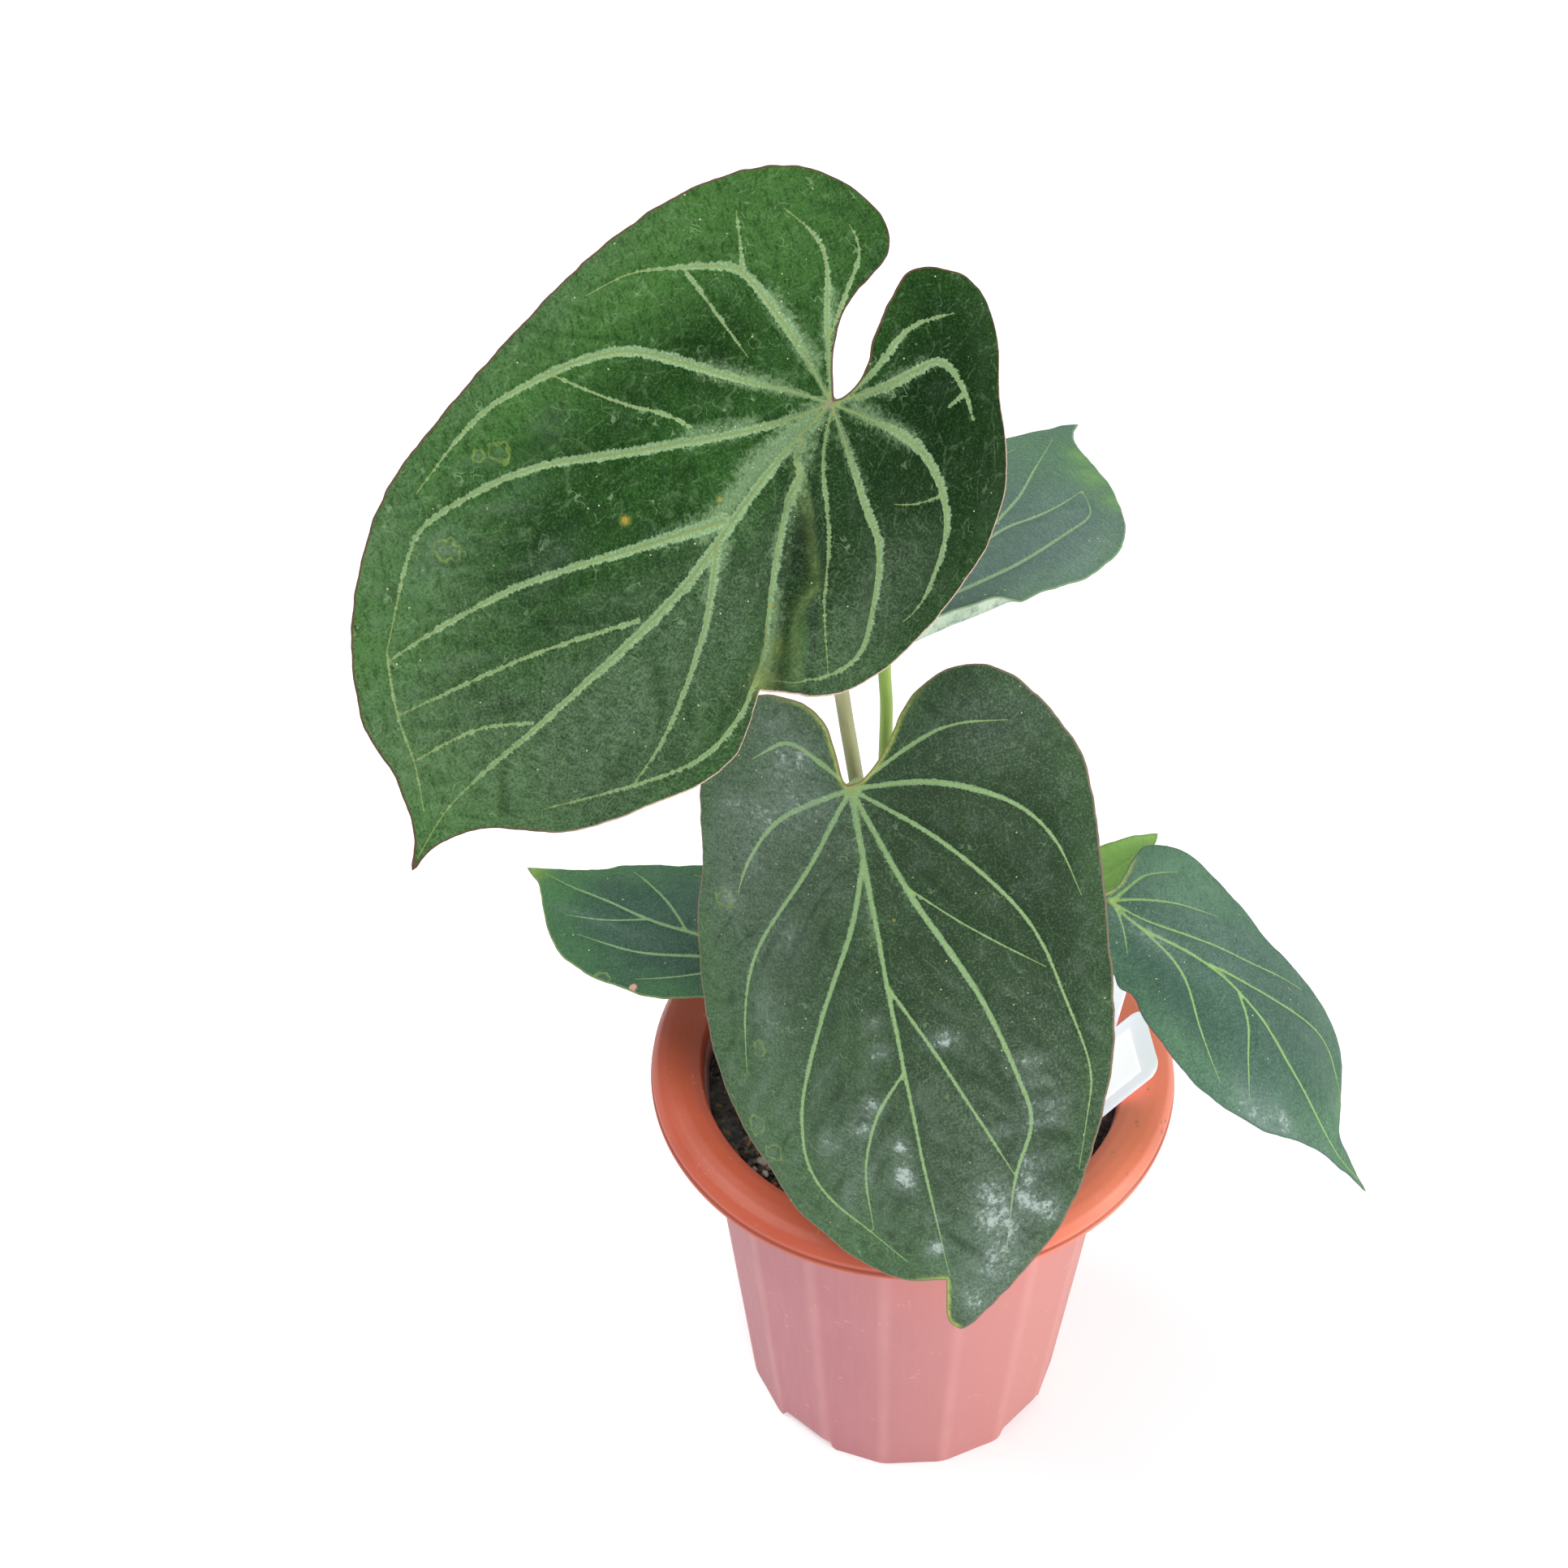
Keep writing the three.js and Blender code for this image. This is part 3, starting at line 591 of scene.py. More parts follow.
def nearest(points, line):
    """How far each point is from a line, and how far along the line its nearest place is."""
    far, run = np.full(len(points), np.inf), np.zeros(len(points))
    walked = 0.0
    for begin, end in zip(line, line[1:]):
        move = end - begin
        length = max(np.linalg.norm(move), 1e-9)
        offset = points - begin
        part = np.clip(offset @ move / length ** 2, 0, 1)
        gap = np.hypot(*(offset - part[:, None] * move).T)
        closer = gap < far
        far[closer] = gap[closer]
        run[closer] = walked + part[closer] * length
        walked += length
    return far, run


def filled_sheet(outline, spacing, lines=(), beside=()):
    """Plan points and triangles that fill an outline. Lines become edges of the mesh, with
    rows of points beside them at the given distances."""
    jitter = np.random.default_rng(5)
    low, high = outline.min(0), outline.max(0)
    rows = []
    for k, level in enumerate(np.arange(low[1], high[1], spacing * 0.866)):
        along = np.arange(low[0] + (k % 2) * spacing / 2, high[0], spacing)
        rows.append(np.stack([along, np.full(len(along), level)], 1))
    grid = np.vstack(rows)
    grid += jitter.uniform(-0.15, 0.15, grid.shape) * spacing
    flanks = []
    for line in lines:
        ahead = np.gradient(line, axis=0)
        ahead /= np.linalg.norm(ahead, axis=1)[:, None]
        across = np.stack([-ahead[:, 1], ahead[:, 0]], 1)
        flanks += [line + across * side * gap for gap in beside for side in (-1, 1)]
    loose = np.vstack([*flanks, grid]) if flanks else grid
    rim = np.vstack([outline, outline[:1]])
    loose = loose[inside_of(loose, outline)]
    loose = loose[nearest(loose, rim)[0] > spacing * 0.5]
    fixed = np.vstack([outline, *lines]) if len(lines) else outline
    room, taken, kept = spacing * 0.52, {}, []
    for fresh, places in ((False, fixed), (True, loose)):
        for place in places:
            column, row = int(place[0] // room), int(place[1] // room)
            near = [p for i in (-1, 0, 1) for j in (-1, 0, 1)
                    for p in taken.get((column + i, row + j), ())]
            if fresh and any((p[0] - place[0]) ** 2 + (p[1] - place[1]) ** 2 < room ** 2
                             for p in near):
                continue
            taken.setdefault((column, row), []).append(place)
            if fresh:
                kept.append(place)
    flat = np.vstack([fixed, kept])
    edges, first = [(k, (k + 1) % len(outline)) for k in range(len(outline))], len(outline)
    for line in lines:
        edges += [(first + k, first + k + 1) for k in range(len(line) - 1)]
        first += len(line)
    plan, _, triangles, *_ = geometry.delaunay_2d_cdt(
        [Vector(p) for p in flat], edges, [], 1, 1e-4)
    return np.array(plan), triangles


def thickened(plan, triangles):
    """Faces of a closed sheet on twice the plan's points plus a rounded edge row; for each
    point its plan index, its side (1 top, -1 under, 0 edge) and its outward push."""
    count = len(plan)
    sides = {(a, b) for f in triangles for a, b in zip(f, f[1:] + f[:1])}
    edge = sorted((a, b) for a, b in sides if (b, a) not in sides)
    push = np.zeros((count, 2))
    for a, b in edge:
        step = plan[b] - plan[a]
        out = np.array([step[1], -step[0]]) / max(np.hypot(*step), 1e-9)
        push[a] += out
        push[b] += out
    on_edge = sorted({a for a, _ in edge})
    row = {a: 2 * count + k for k, a in enumerate(on_edge)}
    faces = list(triangles) + [tuple(count + k for k in reversed(f)) for f in triangles]
    for a, b in edge:
        faces.append((b, a, row[a], row[b]))
        faces.append((row[b], row[a], count + a, count + b))
    source = np.concatenate([np.arange(count), np.arange(count), on_edge])
    side = np.concatenate([np.ones(count), -np.ones(count), np.zeros(len(on_edge))])
    lengths = np.maximum(np.hypot(*push.T), 1e-9)[:, None]
    push = np.where((side == 0)[:, None], (push / lengths)[source], 0.0)
    return faces, source, side, push


parts = []
for number, heading in enumerate(SHEATH_HEADINGS):
    length = 30 - 3 * number
    right = run_through([[0, -6], [8, -7], [18, -5], [length, 0]], 0.6)
    left = run_through([[length, 0], [18, 5], [8, 7], [0, 6]], 0.6)
    outline = np.vstack([right[:-1], left, run_through([[0, 6], [0, 0], [0, -6]], 0.6)[1:-1]])
    fray = cloudy(outline * (0.4, 1.6), 1.1, number) * np.clip(outline[:, 0] / 8, 0, 1)
    outline[:, 1] *= 1 - 0.22 * np.abs(fray)
    outline[:, 0] += fray * 0.8 * np.clip(outline[:, 0] / 8, 0, 1)
    plan, triangles = filled_sheet(outline, 0.9)
    faces, source, side, push = thickened(plan, triangles)
    up, across = (plan[source] + push * SHEATH_THICKNESS / 2).T
    lean = cloudy(np.stack([up, across], 1), 9, number) * 0.7 * np.clip(up / 12, 0, 1)
    turn = math.radians(heading) + across / SHEATH_SEAT
    reach = SHEATH_SEAT + lean + up * 0.05 + side * SHEATH_THICKNESS / 2
    points = ring(reach, turn, MIX_TOP + SHEATH_LIFT + up) + [*CROWN_SPOT, 0]
    sheath_marks = np.stack([up, across, np.full(len(up), number * 7.0)], 1)
    parts.append((points, [tuple(reversed(f)) for f in faces], sheath_marks))

sheath_finish, start, shader = new_finish("papery_sheath", Specular_IOR_Level=0.3)
plan_wire = mark_wire(start, "plan")
up, across, _ = plan_wire.split()
fibre = plan_wire.vector("MULTIPLY", plan_wire, (0.08, 2.4, 1.0)).noise(1.0, 3, 0.7)
blotch = plan_wire.noise(6, 3)
colour = (fibre * 0.9 + blotch * 0.5 - 0.25).blend(hue(92, 66, 38), hue(196, 168, 118))
colour = (up.rise(18, 28) * 0.5).blend(colour, hue(88, 60, 36))
dress(shader, colour, 0.6 + fibre * 0.3, fibre * 0.25)
for number, (points, faces, sheath_marks) in enumerate(parts, 1):
    sheath = make_piece(
        f"dry_sheath_{number}", points, faces, sheath_finish, {"plan": sheath_marks})
    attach(sheath, "root")
    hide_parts(f"sheath_{number}")

# Leaves: where each blade sits on its stalk, which way it points, how its surface is bent, and
# its margin from sinus to tip and back, as places along to the tip and across to the side. A
# vein is its half width at the start, at a third and at the tip, and then its places.
LEAVES = {
    "large": dict(
        seat=(-29, 0, 423), heading=225, dip=23, roll=44, length=170, sag=10, lobe_sag=8,
        folds=(0.06, 0.5), fold_soft=9, crease=(66, 44), stem=2.4, root=(-9, 2),
        way=[(-14.5, 6, 230), (-29, 8.5, 345)],
        margin=[
            [-1.2, 0, -4, -3, -12, -10, -24, -15, -41, -16, -48, -23, -48, -37, -36, -55, -12, -68,
             17, -74, 46, -75, 76, -74, 104, -70, 131, -55, 149, -35, 154, -19, 161, -5, 169, 2],
            [169, 2, 158, 3, 146, 11, 130, 30, 107, 43, 86, 50, 66, 43],
            [66, 43, 52, 60, 30, 68, 0, 68, -23, 60, -40, 38, -50, 25, -54, 12, -51, 0, -42, -8,
             -24, -4, -16, 0, -10, 2, -4, 1.6, -1.2, 0]],
        veins=[
            (1.3, 1.9, 0.15, 0, 0, 25, 0, 68, 4, 114, 1, 148, -2, 166, 1),
            (0.8, 2.0, 0.35, 0, 0, 5, -10, 12, -21, 20, -36, 28, -49, 37, -56, 48, -61, 63, -66, 76,
             -67, 96, -65),
            (0.5, 0.35, 1.0, 48, -61, 41, -43, 34, -31, 32, -24),
            (1.2, 1.75, 0.3, 0, 0, 19, -10, 48, -31, 71, -48, 96, -57, 108, -56, 132, -42),
            (2.6, 1.35, 0.7, 44, 0, 67, -13, 94, -28, 120, -37, 133, -40),
            (0.8, 0.75, 0.4, 80, 1, 107, -14, 141, -28),
            (0.45, 0.45, 0.3, 119, -1, 131, -11, 148, -17),
            (0.35, 0.3, 0.15, 132, -42, 142, -29, 148, -17, 156, -6),
            (0.9, 2.2, 1.0, 0, 0, -4, -12, -7, -25, -9, -42, -3, -50, 6, -58),
            (0.5, 0.3, 0.1, 6, -58, 14, -64, 26, -68),
            (1.2, 0.5, 0.2, -9, -42, -13, -46, -20, -54),
            (1.0, 0.5, 0.15, 2, -53, 4, -41, 7, -25),
            (0.8, 1.4, 0.3, 0, 0, -9, -9, -17, -17, -28, -27, -31, -34, -30, -45),
            (0.5, 0.9, 0.4, -12, -12, -25, -17, -37, -22, -40, -29),
            (1.9, 1.1, 0.6, 50, 3, 68, 16, 93, 29, 109, 33),
            (1.7, 1.5, 0.25, 13, 1, 22, 7, 35, 15, 52, 29, 62, 38, 75, 43, 90, 43, 110, 34,
             133, 18),
            (0.7, 0.7, 0.3, 2, 2, 12, 9, 25, 27, 39, 40, 50, 54),
            (1.2, 1.7, 0.3, 0, 0, 11, 28, 16, 42, 35, 57, 51, 54, 62, 44),
            (0.9, 2.1, 0.5, 0, 0, -12, 29, -5, 51, 14, 62, 22, 62),
            (0.9, 2.0, 0.9, 0, 0, -14, 8, -25, 12, -33, 16, -33, 28, -30, 35),
            (0.6, 0.8, 0.6, -33, 28, -26, 27),
            (0.7, 1.3, 0.4, -4, 2, -17, 3, -31, 2, -44, 9),
            (0.8, 0.4, 0.1, -10, 44, -2, 40, 4, 34)],
        halos=[
            (6, -1, 30, -4, 4.4), (28, -3, 50, -2, 3.6), (48, 4, 62, 10, 2.4), (12, 3, 40, 17, 2.4),
            (3, 6, 9, 24, 1.6), (46, 27, 62, 40, 3.0), (20, -12, 34, -22, 3.0),
            (6, -12, 18, -32, 2.8), (-5, -12, -9, -32, 3.2), (44, -2, 60, -9, 2.4),
            (-4, 6, -11, 24, 3.0), (-14, 8, -27, 12, 2.4), (-12, -12, -22, -20, 2.4)]),
    "front": dict(
        seat=(-22, -15, 290), heading=284, dip=44, roll=-26, length=165, sag=16, lobe_sag=8,
        folds=(0.3, 0.12), fold_soft=8, stem=2.2, root=(-13, -1),
        way=[(-15, -7, 200), (-19, -9, 260)],
        margin=[
            [-1.2, 1, -2, -2, -12, -3, -21, -5, -28, -12, -32, -26, -25, -41, -10, -49, 14, -53, 34,
             -59, 65, -62, 89, -59, 112, -50, 128, -40, 145, -20, 149, -1],
            [149, -1, 157, -2.6, 161.5, -2.2, 163.8, 0.2],
            [163.8, 0.2, 162.4, 4.2, 151, 20, 131, 41, 98, 58.2, 72, 64.6, 44, 67.4, 20, 69, 0,
             67.6, -23, 54, -30, 38, -24, 23, -15, 16, -8, 11, -2, 4, -1.2, 1]],
        veins=[
            (1.1, 0.75, 0.3, 0, 0, 30, 0, 65, 0, 109, 0, 148, 0),
            (0.6, 0.55, 0.4, 59, 0, 85, 12, 121, 26),
            (0.5, 0.5, 0.25, 85, 0, 95, -10, 103, -15, 114, -19, 131, -21),
            (0.8, 0.95, 0.4, 0, 0, 34, 12, 65, 26, 93, 33, 106, 34, 121, 26, 142, 19),
            (0.7, 0.6, 0.15, 0, 0, 20, 24, 46, 44, 72, 51, 93, 54, 107, 50, 121, 45),
            (0.3, 0.2, 0.2, 31, 11, 45, 26, 61, 47),
            (0.7, 0.95, 0.2, 0, 0, 2, 24, 11, 45, 24, 56, 42, 61),
            (0.5, 0.65, 0.15, -2, 4, -13, 29, -12, 49),
            (0.9, 0.75, 0.3, 21, 0, 41, -8, 69, -25, 93, -36, 113, -37, 132, -22, 142, -12),
            (0.8, 0.7, 0.25, 0, 0, 21, -18, 40, -38, 58, -48, 79, -52),
            (0.8, 0.85, 0.4, 0, 0, 5, -24, 15, -37, 25, -43),
            (0.4, 0.8, 0.4, 0, 0, -7, -6, -17, -17, -15, -26, -14, -30)],
        halos=[(8, 0, 46, -1, 1.3), (6, 2, 36, 12, 0.9)]),
    "back": dict(
        seat=(-7, 22, 324), heading=58, dip=1, roll=0, length=110, sag=6, lobe_sag=4,
        folds=(0.1, 0.1), fold_soft=8, rolled=(10.5, 0.42, 1.3), stem=2.2,
        root=(-5, 11), knuckle=4, way=[(-10.5, 14.5, 235), (-10.8, 18.5, 290), (-11, 21, 313)],
        margin=[
            [-4, 0, -14, -3, -17, -8, -10, -14, 4, -19.5, 16, -23.5, 24, -25, 30, -26, 43, -31, 52,
             -35, 66, -37, 76, -34, 85, -28, 96, -16, 104, -3, 110, 2.6, 116, 4],
            [116, 4, 112, 8, 106, 11, 94, 19, 75, 31, 50, 39, 22, 38, 0, 32, -17, 20, -20, 9, -12,
             3, -4, 0]],
        veins=[
            (1.0, 0.7, 0.25, 0, 0, 60, -1, 87, 3, 103, 6),
            (0.6, 0.55, 0.3, 32, 0, 52, -4, 70, -11, 86, -14),
            (0.7, 0.65, 0.35, 2, 0, 21, -8, 44, -16, 74, -22, 80, -20, 86, -14),
            (0.6, 0.5, 0.2, 26, 0, 48, 12, 72, 17, 92, 13),
            (0.7, 0.5, 0.2, 0, 0, 20, 15, 44, 27, 68, 26),
            (0.6, 0.4, 0.2, 0, 0, -2, 16, 12, 28),
            (0.5, 0.3, 0.2, 0, 0, -10, 7, -14, 14)],
        halos=[(4, 0, 40, -1, 1.6)]),
    "left": dict(
        seat=(-48, 0, 199), heading=149, dip=4, roll=8, length=94, sag=4, lobe_sag=3,
        folds=(0.15, 0.15), fold_soft=6, stem=1.7, root=(-15, 6),
        way=[(-27, 6, 165), (-43, 3, 185)],
        margin=[
            [-4, 0, -14, -4, -19, -12, -14, -25, 2, -32, 20, -32, 39, -27, 48, -23, 56, -20, 64,
             -16, 70, -11, 86, -4, 92, -2],
            [92, -2, 88, 0.5, 84, 3, 77, 11, 70, 18, 61, 24, 49, 26, 42, 26, 30, 26, 22, 24, 8, 18,
             -8, 14, -16, 8, -12, 3, -4, 0]],
        veins=[
            (0.9, 0.7, 0.2, 0, 0, 24, 0, 39, 1, 63, 0, 85, -2),
            (0.4, 0.5, 0.25, 29, 0, 43, -9, 59, -15),
            (0.5, 0.6, 0.2, 0, 0, 20, 7, 38, 13, 61, 15),
            (0.4, 0.4, 0.1, 0, 0, 16, 12, 26, 18, 35, 22),
            (0.4, 0.3, 0.1, 43, 1, 56, 7, 69, 10),
            (0.5, 0.4, 0.1, 0, 0, 10, -13, 28, -22, 40, -22),
            (0.4, 0.3, 0.1, 0, 0, -8, -10, -6, -20),
            (0.4, 0.3, 0.1, 0, 0, -6, 8, 2, 18)],
        halos=[(2, 0, 26, 0, 1.5)]),
    "right": dict(
        seat=(59.5, -2, 228), heading=334, dip=15, roll=0, length=115, sag=60, lobe_sag=6,
        folds=(0.25, 0.25), fold_soft=6, stem=1.8, root=(-1, 3),
        way=[(20, 2, 178), (48, -1, 207)],
        margin=[
            [-4, 0, -12, -4, -13, -12, 0, -19, 11, -21, 15, -23.4, 20, -23.4, 30, -29, 53, -32, 74,
             -25.6, 92, -13.4, 112.5, -4.8],
            [112.5, -4.8, 104, -4, 96, -1.4, 91, 8, 86, 19, 79, 26, 68, 30, 45, 32.5, 23, 39.4, 12,
             40, 4, 36.3, 0.2, 32, -1, 26, -0.8, 17, -1, 7, -4, 0]],
        veins=[
            (0.6, 0.55, 0.25, 0, 0, 12, -3, 40, 2, 58, 0, 95, -7, 109, -5),
            (0.8, 0.5, 0.15, 0, 0, 2, 8, 5, 20, 13, 30),
            (0.6, 0.55, 0.15, 0, 0, 7, 7, 18, 16, 31, 23),
            (0.3, 0.5, 0.2, 0, 0, 10, 0, 24, 5, 46, 16, 64, 25),
            (0.45, 0.45, 0.15, 36, 2, 61, 12, 78, 18, 86, 13, 92, 6),
            (0.4, 0.4, 0.15, 48, 1, 55, -5, 59, -12, 66, -22),
            (0.3, 0.5, 0.15, 10, -3, 29, -7, 43, -18, 56, -26),
            (0.5, 0.35, 0.1, 0, 0, 6, -5, 12, -13)],
        halos=[]),
    "young": dict(
        seat=(47, 18, 202), heading=35, dip=-20, roll=0, length=40, sag=1, lobe_sag=1,
        folds=(-0.2, -0.2), fold_soft=4, stem=1.3, root=(0.5, 9.5),
        way=[(18, 14, 165), (40, 17, 188)],
        margin=[
            [-3, 0, -8, -3, -4, -8, 8, -11, 22, -9, 34, -3, 40, 1],
            [40, 1, 31, 6, 21, 10, 8, 12, -4, 8, -8, 3, -3, 0]],
        veins=[
            (0.5, 0.35, 0.15, 0, 0, 18, 0, 27, -1, 38, 1),
            (0.3, 0.2, 0.1, 4, 0, 16, 6, 27, 5),
            (0.3, 0.2, 0.1, 4, 0, 15, -5, 25, -5),
            (0.3, 0.2, 0.1, 0, 0, 0, 6, 10, 9),
            (0.3, 0.2, 0.1, 0, 0, 0, -5, 8, -8)],
        halos=[]),
}
BLADE_THICKNESS = 0.6
CREASE_DEPTH, CREASE_WIDTH, SWELL_OFF, SWELL_WIDTH = 4, 6, 16, 10
ROLL_TURN, ROLL_ENDS = 1.75, (19, 29)


def leaf_axes(leaf):
    """Where the blade sits, and its directions along, across and out of its face."""
    heading, dip, roll = (math.radians(leaf[key]) for key in ("heading", "dip", "roll"))
    flat = np.array([math.cos(heading), math.sin(heading), 0.0])
    up = np.array([0.0, 0.0, 1.0])
    along = flat * math.cos(dip) - up * math.sin(dip)
    level = flat * math.sin(dip) + up * math.cos(dip)
    face = level * math.cos(roll) + np.cross(level, along) * math.sin(roll)
    return np.array(leaf["seat"], float), along, np.cross(face, along), face


def smooth(value, start, end):
    part = np.clip((value - start) / (end - start), 0, 1)
    return part * part * (3 - 2 * part)


def leaf_lift(leaf, along, across):
    """How far the blade's middle stands off its flat plan."""
    drop = np.where(along > 0, leaf["sag"], leaf["lobe_sag"] * 4)
    left, right = leaf["folds"]
    soft = leaf["fold_soft"]
    lift = -drop * (along / leaf["length"]) ** 2
    lift = lift - np.where(across > 0, right, left) * (np.hypot(across, soft) - soft)
    if "crease" in leaf:
        end_along, end_across = leaf["crease"]
        run = math.hypot(end_along, end_across)
        down = (along * end_along + across * end_across) / run
        off = (across * end_along - along * end_across) / run
        ramp = smooth(down, 0, run)
        lift = lift - CREASE_DEPTH * ramp * np.exp(-(off / CREASE_WIDTH) ** 2)
        lift = lift + CREASE_DEPTH * ramp * np.exp(-((off - SWELL_OFF) / SWELL_WIDTH) ** 2)
    return lift


def laid(leaf, along, across):
    """Where places on the flat plan are on the blade's middle surface. A rolled margin turns
    up on a small radius beyond its fold line and then stands straight."""
    seat, ahead, sideways, face = leaf_axes(leaf)
    rise = np.zeros(len(along))
    if "rolled" in leaf:
        begin, spread, radius = leaf["rolled"]
        out = np.array([-spread, -1.0]) / math.hypot(spread, 1)
        past = np.maximum(0, (-across - begin - spread * along) * -out[1])
        turn = np.minimum(past / radius, ROLL_TURN * (1 - smooth(along, *ROLL_ENDS)))
        straight = past - radius * turn
        move = radius * np.sin(turn) + straight * np.cos(turn) - past
        rise = radius * (1 - np.cos(turn)) + straight * np.sin(turn)
        along, across = along + out[0] * move, across + out[1] * move
    lift = leaf_lift(leaf, along, across) + rise
    return seat + np.outer(along, ahead) + np.outer(across, sideways) + np.outer(lift, face)


# Stalks: a smooth fleshy petiole carries each blade. It is widest where it clasps the crown,
# has a shallow groove, and swells to a paler knuckle just below the blade.
KNUCKLE, STALK_FOOT, STALK_UPRIGHT = 13.0, 145.5, 155
STALK_COLOURS = {
    "large": ((138, 136, 92), (184, 182, 140)), "front": ((100, 120, 64), (150, 168, 108)),
    "back": ((122, 158, 66), (180, 204, 108)), "left": ((96, 122, 62), (146, 172, 98)),
    "right": ((112, 146, 62), (160, 188, 98)), "young": ((118, 162, 66), (168, 204, 104))}
for name, leaf in LEAVES.items():
    seat, along, across, face = leaf_axes(leaf)
    foot_x, foot_y = leaf["root"]
    route = run_through([
        (foot_x, foot_y, STALK_FOOT), (foot_x, foot_y, STALK_UPRIGHT), *leaf["way"],
        seat - face * leaf.get("knuckle", KNUCKLE), seat - face * 3, seat - face * 0.9], 1.5, 0.5)
    walked = walked_along(route)
    total = walked[-1]
    radii = leaf["stem"] * (1.12 - 0.2 * walked / total)
    radii *= 1 + 0.45 * np.exp(-(walked / 9) ** 2)
    radii *= 1 + 0.24 * np.exp(-((total - walked - 7) / 6) ** 2)
    points, faces, runs = swept(route, radii, 28, 0.14)
    points += np.stack([cloudy(points, 14, k) for k in (1, 2, 3)], 1) * 0.12

    deep, light = STALK_COLOURS[name]
    finish, start, shader = new_finish(f"stalk_{name}", Specular_IOR_Level=0.45)
    place = body_place(start)
    run, turn, left_over = mark_wire(start, "run").split()
    lines = start.join(run * 0.04, turn * 2.2, 0.0).noise(1.0, 3, 0.6)
    cloud = place.noise(9, 3)
    colour = (lines * 0.9 + cloud * 0.5 - 0.2).blend(hue(*deep), hue(*light))
    fleck = start.join(run * 0.45, turn * 2.5, 3.0).cells(1.0)
    fleck = fleck.rise(0.16, 0.08) * place.noise(6, 2).rise(0.45, 0.6)
    colour = (fleck * 0.55).blend(colour, hue(196, 196, 150))
    knuckle = left_over.rise(18.0, 8.0)
    colour = (knuckle * 0.55).blend(colour, hue(*[min(255, c + 22) for c in light]))
    base = run.rise(22.0, 4.0)
    colour = (base * 0.5).blend(colour, hue(122, 92, 62))
    dress(shader, colour, 0.38 + lines * 0.2 + knuckle * 0.1, lines * 0.10 + fleck * 0.06)
    stalk = make_piece(f"stalk_{name}", points, faces, finish, {"run": runs})
    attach(stalk, "root")
    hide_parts(f"petiole_{name}")

# Blades: thin leathery heart-shaped sheets. Veins lie sunk in the upper face with silvery,
# feathered tissue beside them, the fields between them bulge a little, and the under face is
# paler with the veins raised. The margin is a thin brown bead.

# Tones and strengths. The columns are the leaves in their order above.
TONES = dict(
    deep=((11, 36, 9), (26, 50, 25), (70, 94, 84), (36, 64, 50), (50, 82, 66), (134, 182, 92)),
    mid=((50, 90, 38), (56, 82, 49), (88, 114, 100), (56, 86, 70), (76, 113, 90), (158, 204, 112)),
    edge=((70, 110, 54), (70, 106, 64), (82, 124, 76), (66, 112, 64), (92, 136, 98),
          (160, 204, 108)),
    silver=((138, 168, 124), (142, 174, 126), (128, 158, 122), (116, 146, 108), (134, 172, 110),
            (182, 216, 136)),
    core=((132, 148, 88), (146, 176, 110), (136, 166, 118), (128, 156, 104), (156, 188, 110),
          (158, 196, 110)),
    # The next row is the grey of the painted sheen.
    sheen_grey=((110, 128, 106), (118, 134, 122), (114, 134, 130), (90, 112, 104), (118, 138, 136),
          (126, 162, 104)),
    grain=((84, 126, 70), (112, 134, 102), (124, 148, 134), (94, 124, 104), (124, 151, 138),
           (144, 184, 108)),
    under=((112, 136, 84), (110, 136, 88), (240, 250, 236), (124, 150, 100), (126, 156, 96),
           (140, 178, 92)),
    rim=((96, 66, 56), (132, 112, 92), (124, 152, 112), (112, 134, 84), (84, 112, 98),
         (128, 160, 84)),
    # The next row is the bead on the far side; on the large leaf it is lighter, partly its own
    # pinkish tan and partly painted light.
    far_rim_lit=((232, 192, 176), (132, 112, 92), (124, 152, 112), (112, 134, 84), (84, 112, 98),
             (128, 160, 84)),
    knot=((136, 126, 108), (150, 156, 96), (160, 180, 110), (150, 170, 100), (170, 192, 104),
          (150, 180, 100)),
    bleach=((128, 144, 82), (110, 136, 84), (108, 150, 88), (134, 166, 74), (124, 162, 84),
            (150, 180, 90)),
    network=(0.16, 0.12, 0.06, 0.05, 0.08, 0.04),
    # The next row is the share of the painted sheen's grey patches.
    sheen_share=(0.10, 0.25, 0.25, 0.25, 0.2, 0.05),
    feather=(2.4, 0.9, 0.6, 0.5, 0.5, 0.3),
    # The next row is painted shade in the troughs of the ripples.
    crinkle_shade=(0.45, 0.38, 0.25, 0.3, 0.4, 0.1),
    quilt=(2.4, 2.2, 1.0, 1.0, 1.3, 0.3),
    bordered=(0.12, 0.35, 0.5, 0.6, 0.3, 0.4),
    veiled=(0.5, 0.0, 0.0, 0.0, 0.0, 0.0),
    # The next row is painted highlight and painted shade on the puckers.
    pucker_shading=(0.5, 0.8, 0.5, 0.7, 0.7, 0.3),
    gloss=(0.04, 0.22, 0.28, 0.22, 0.26, 0.28),
)
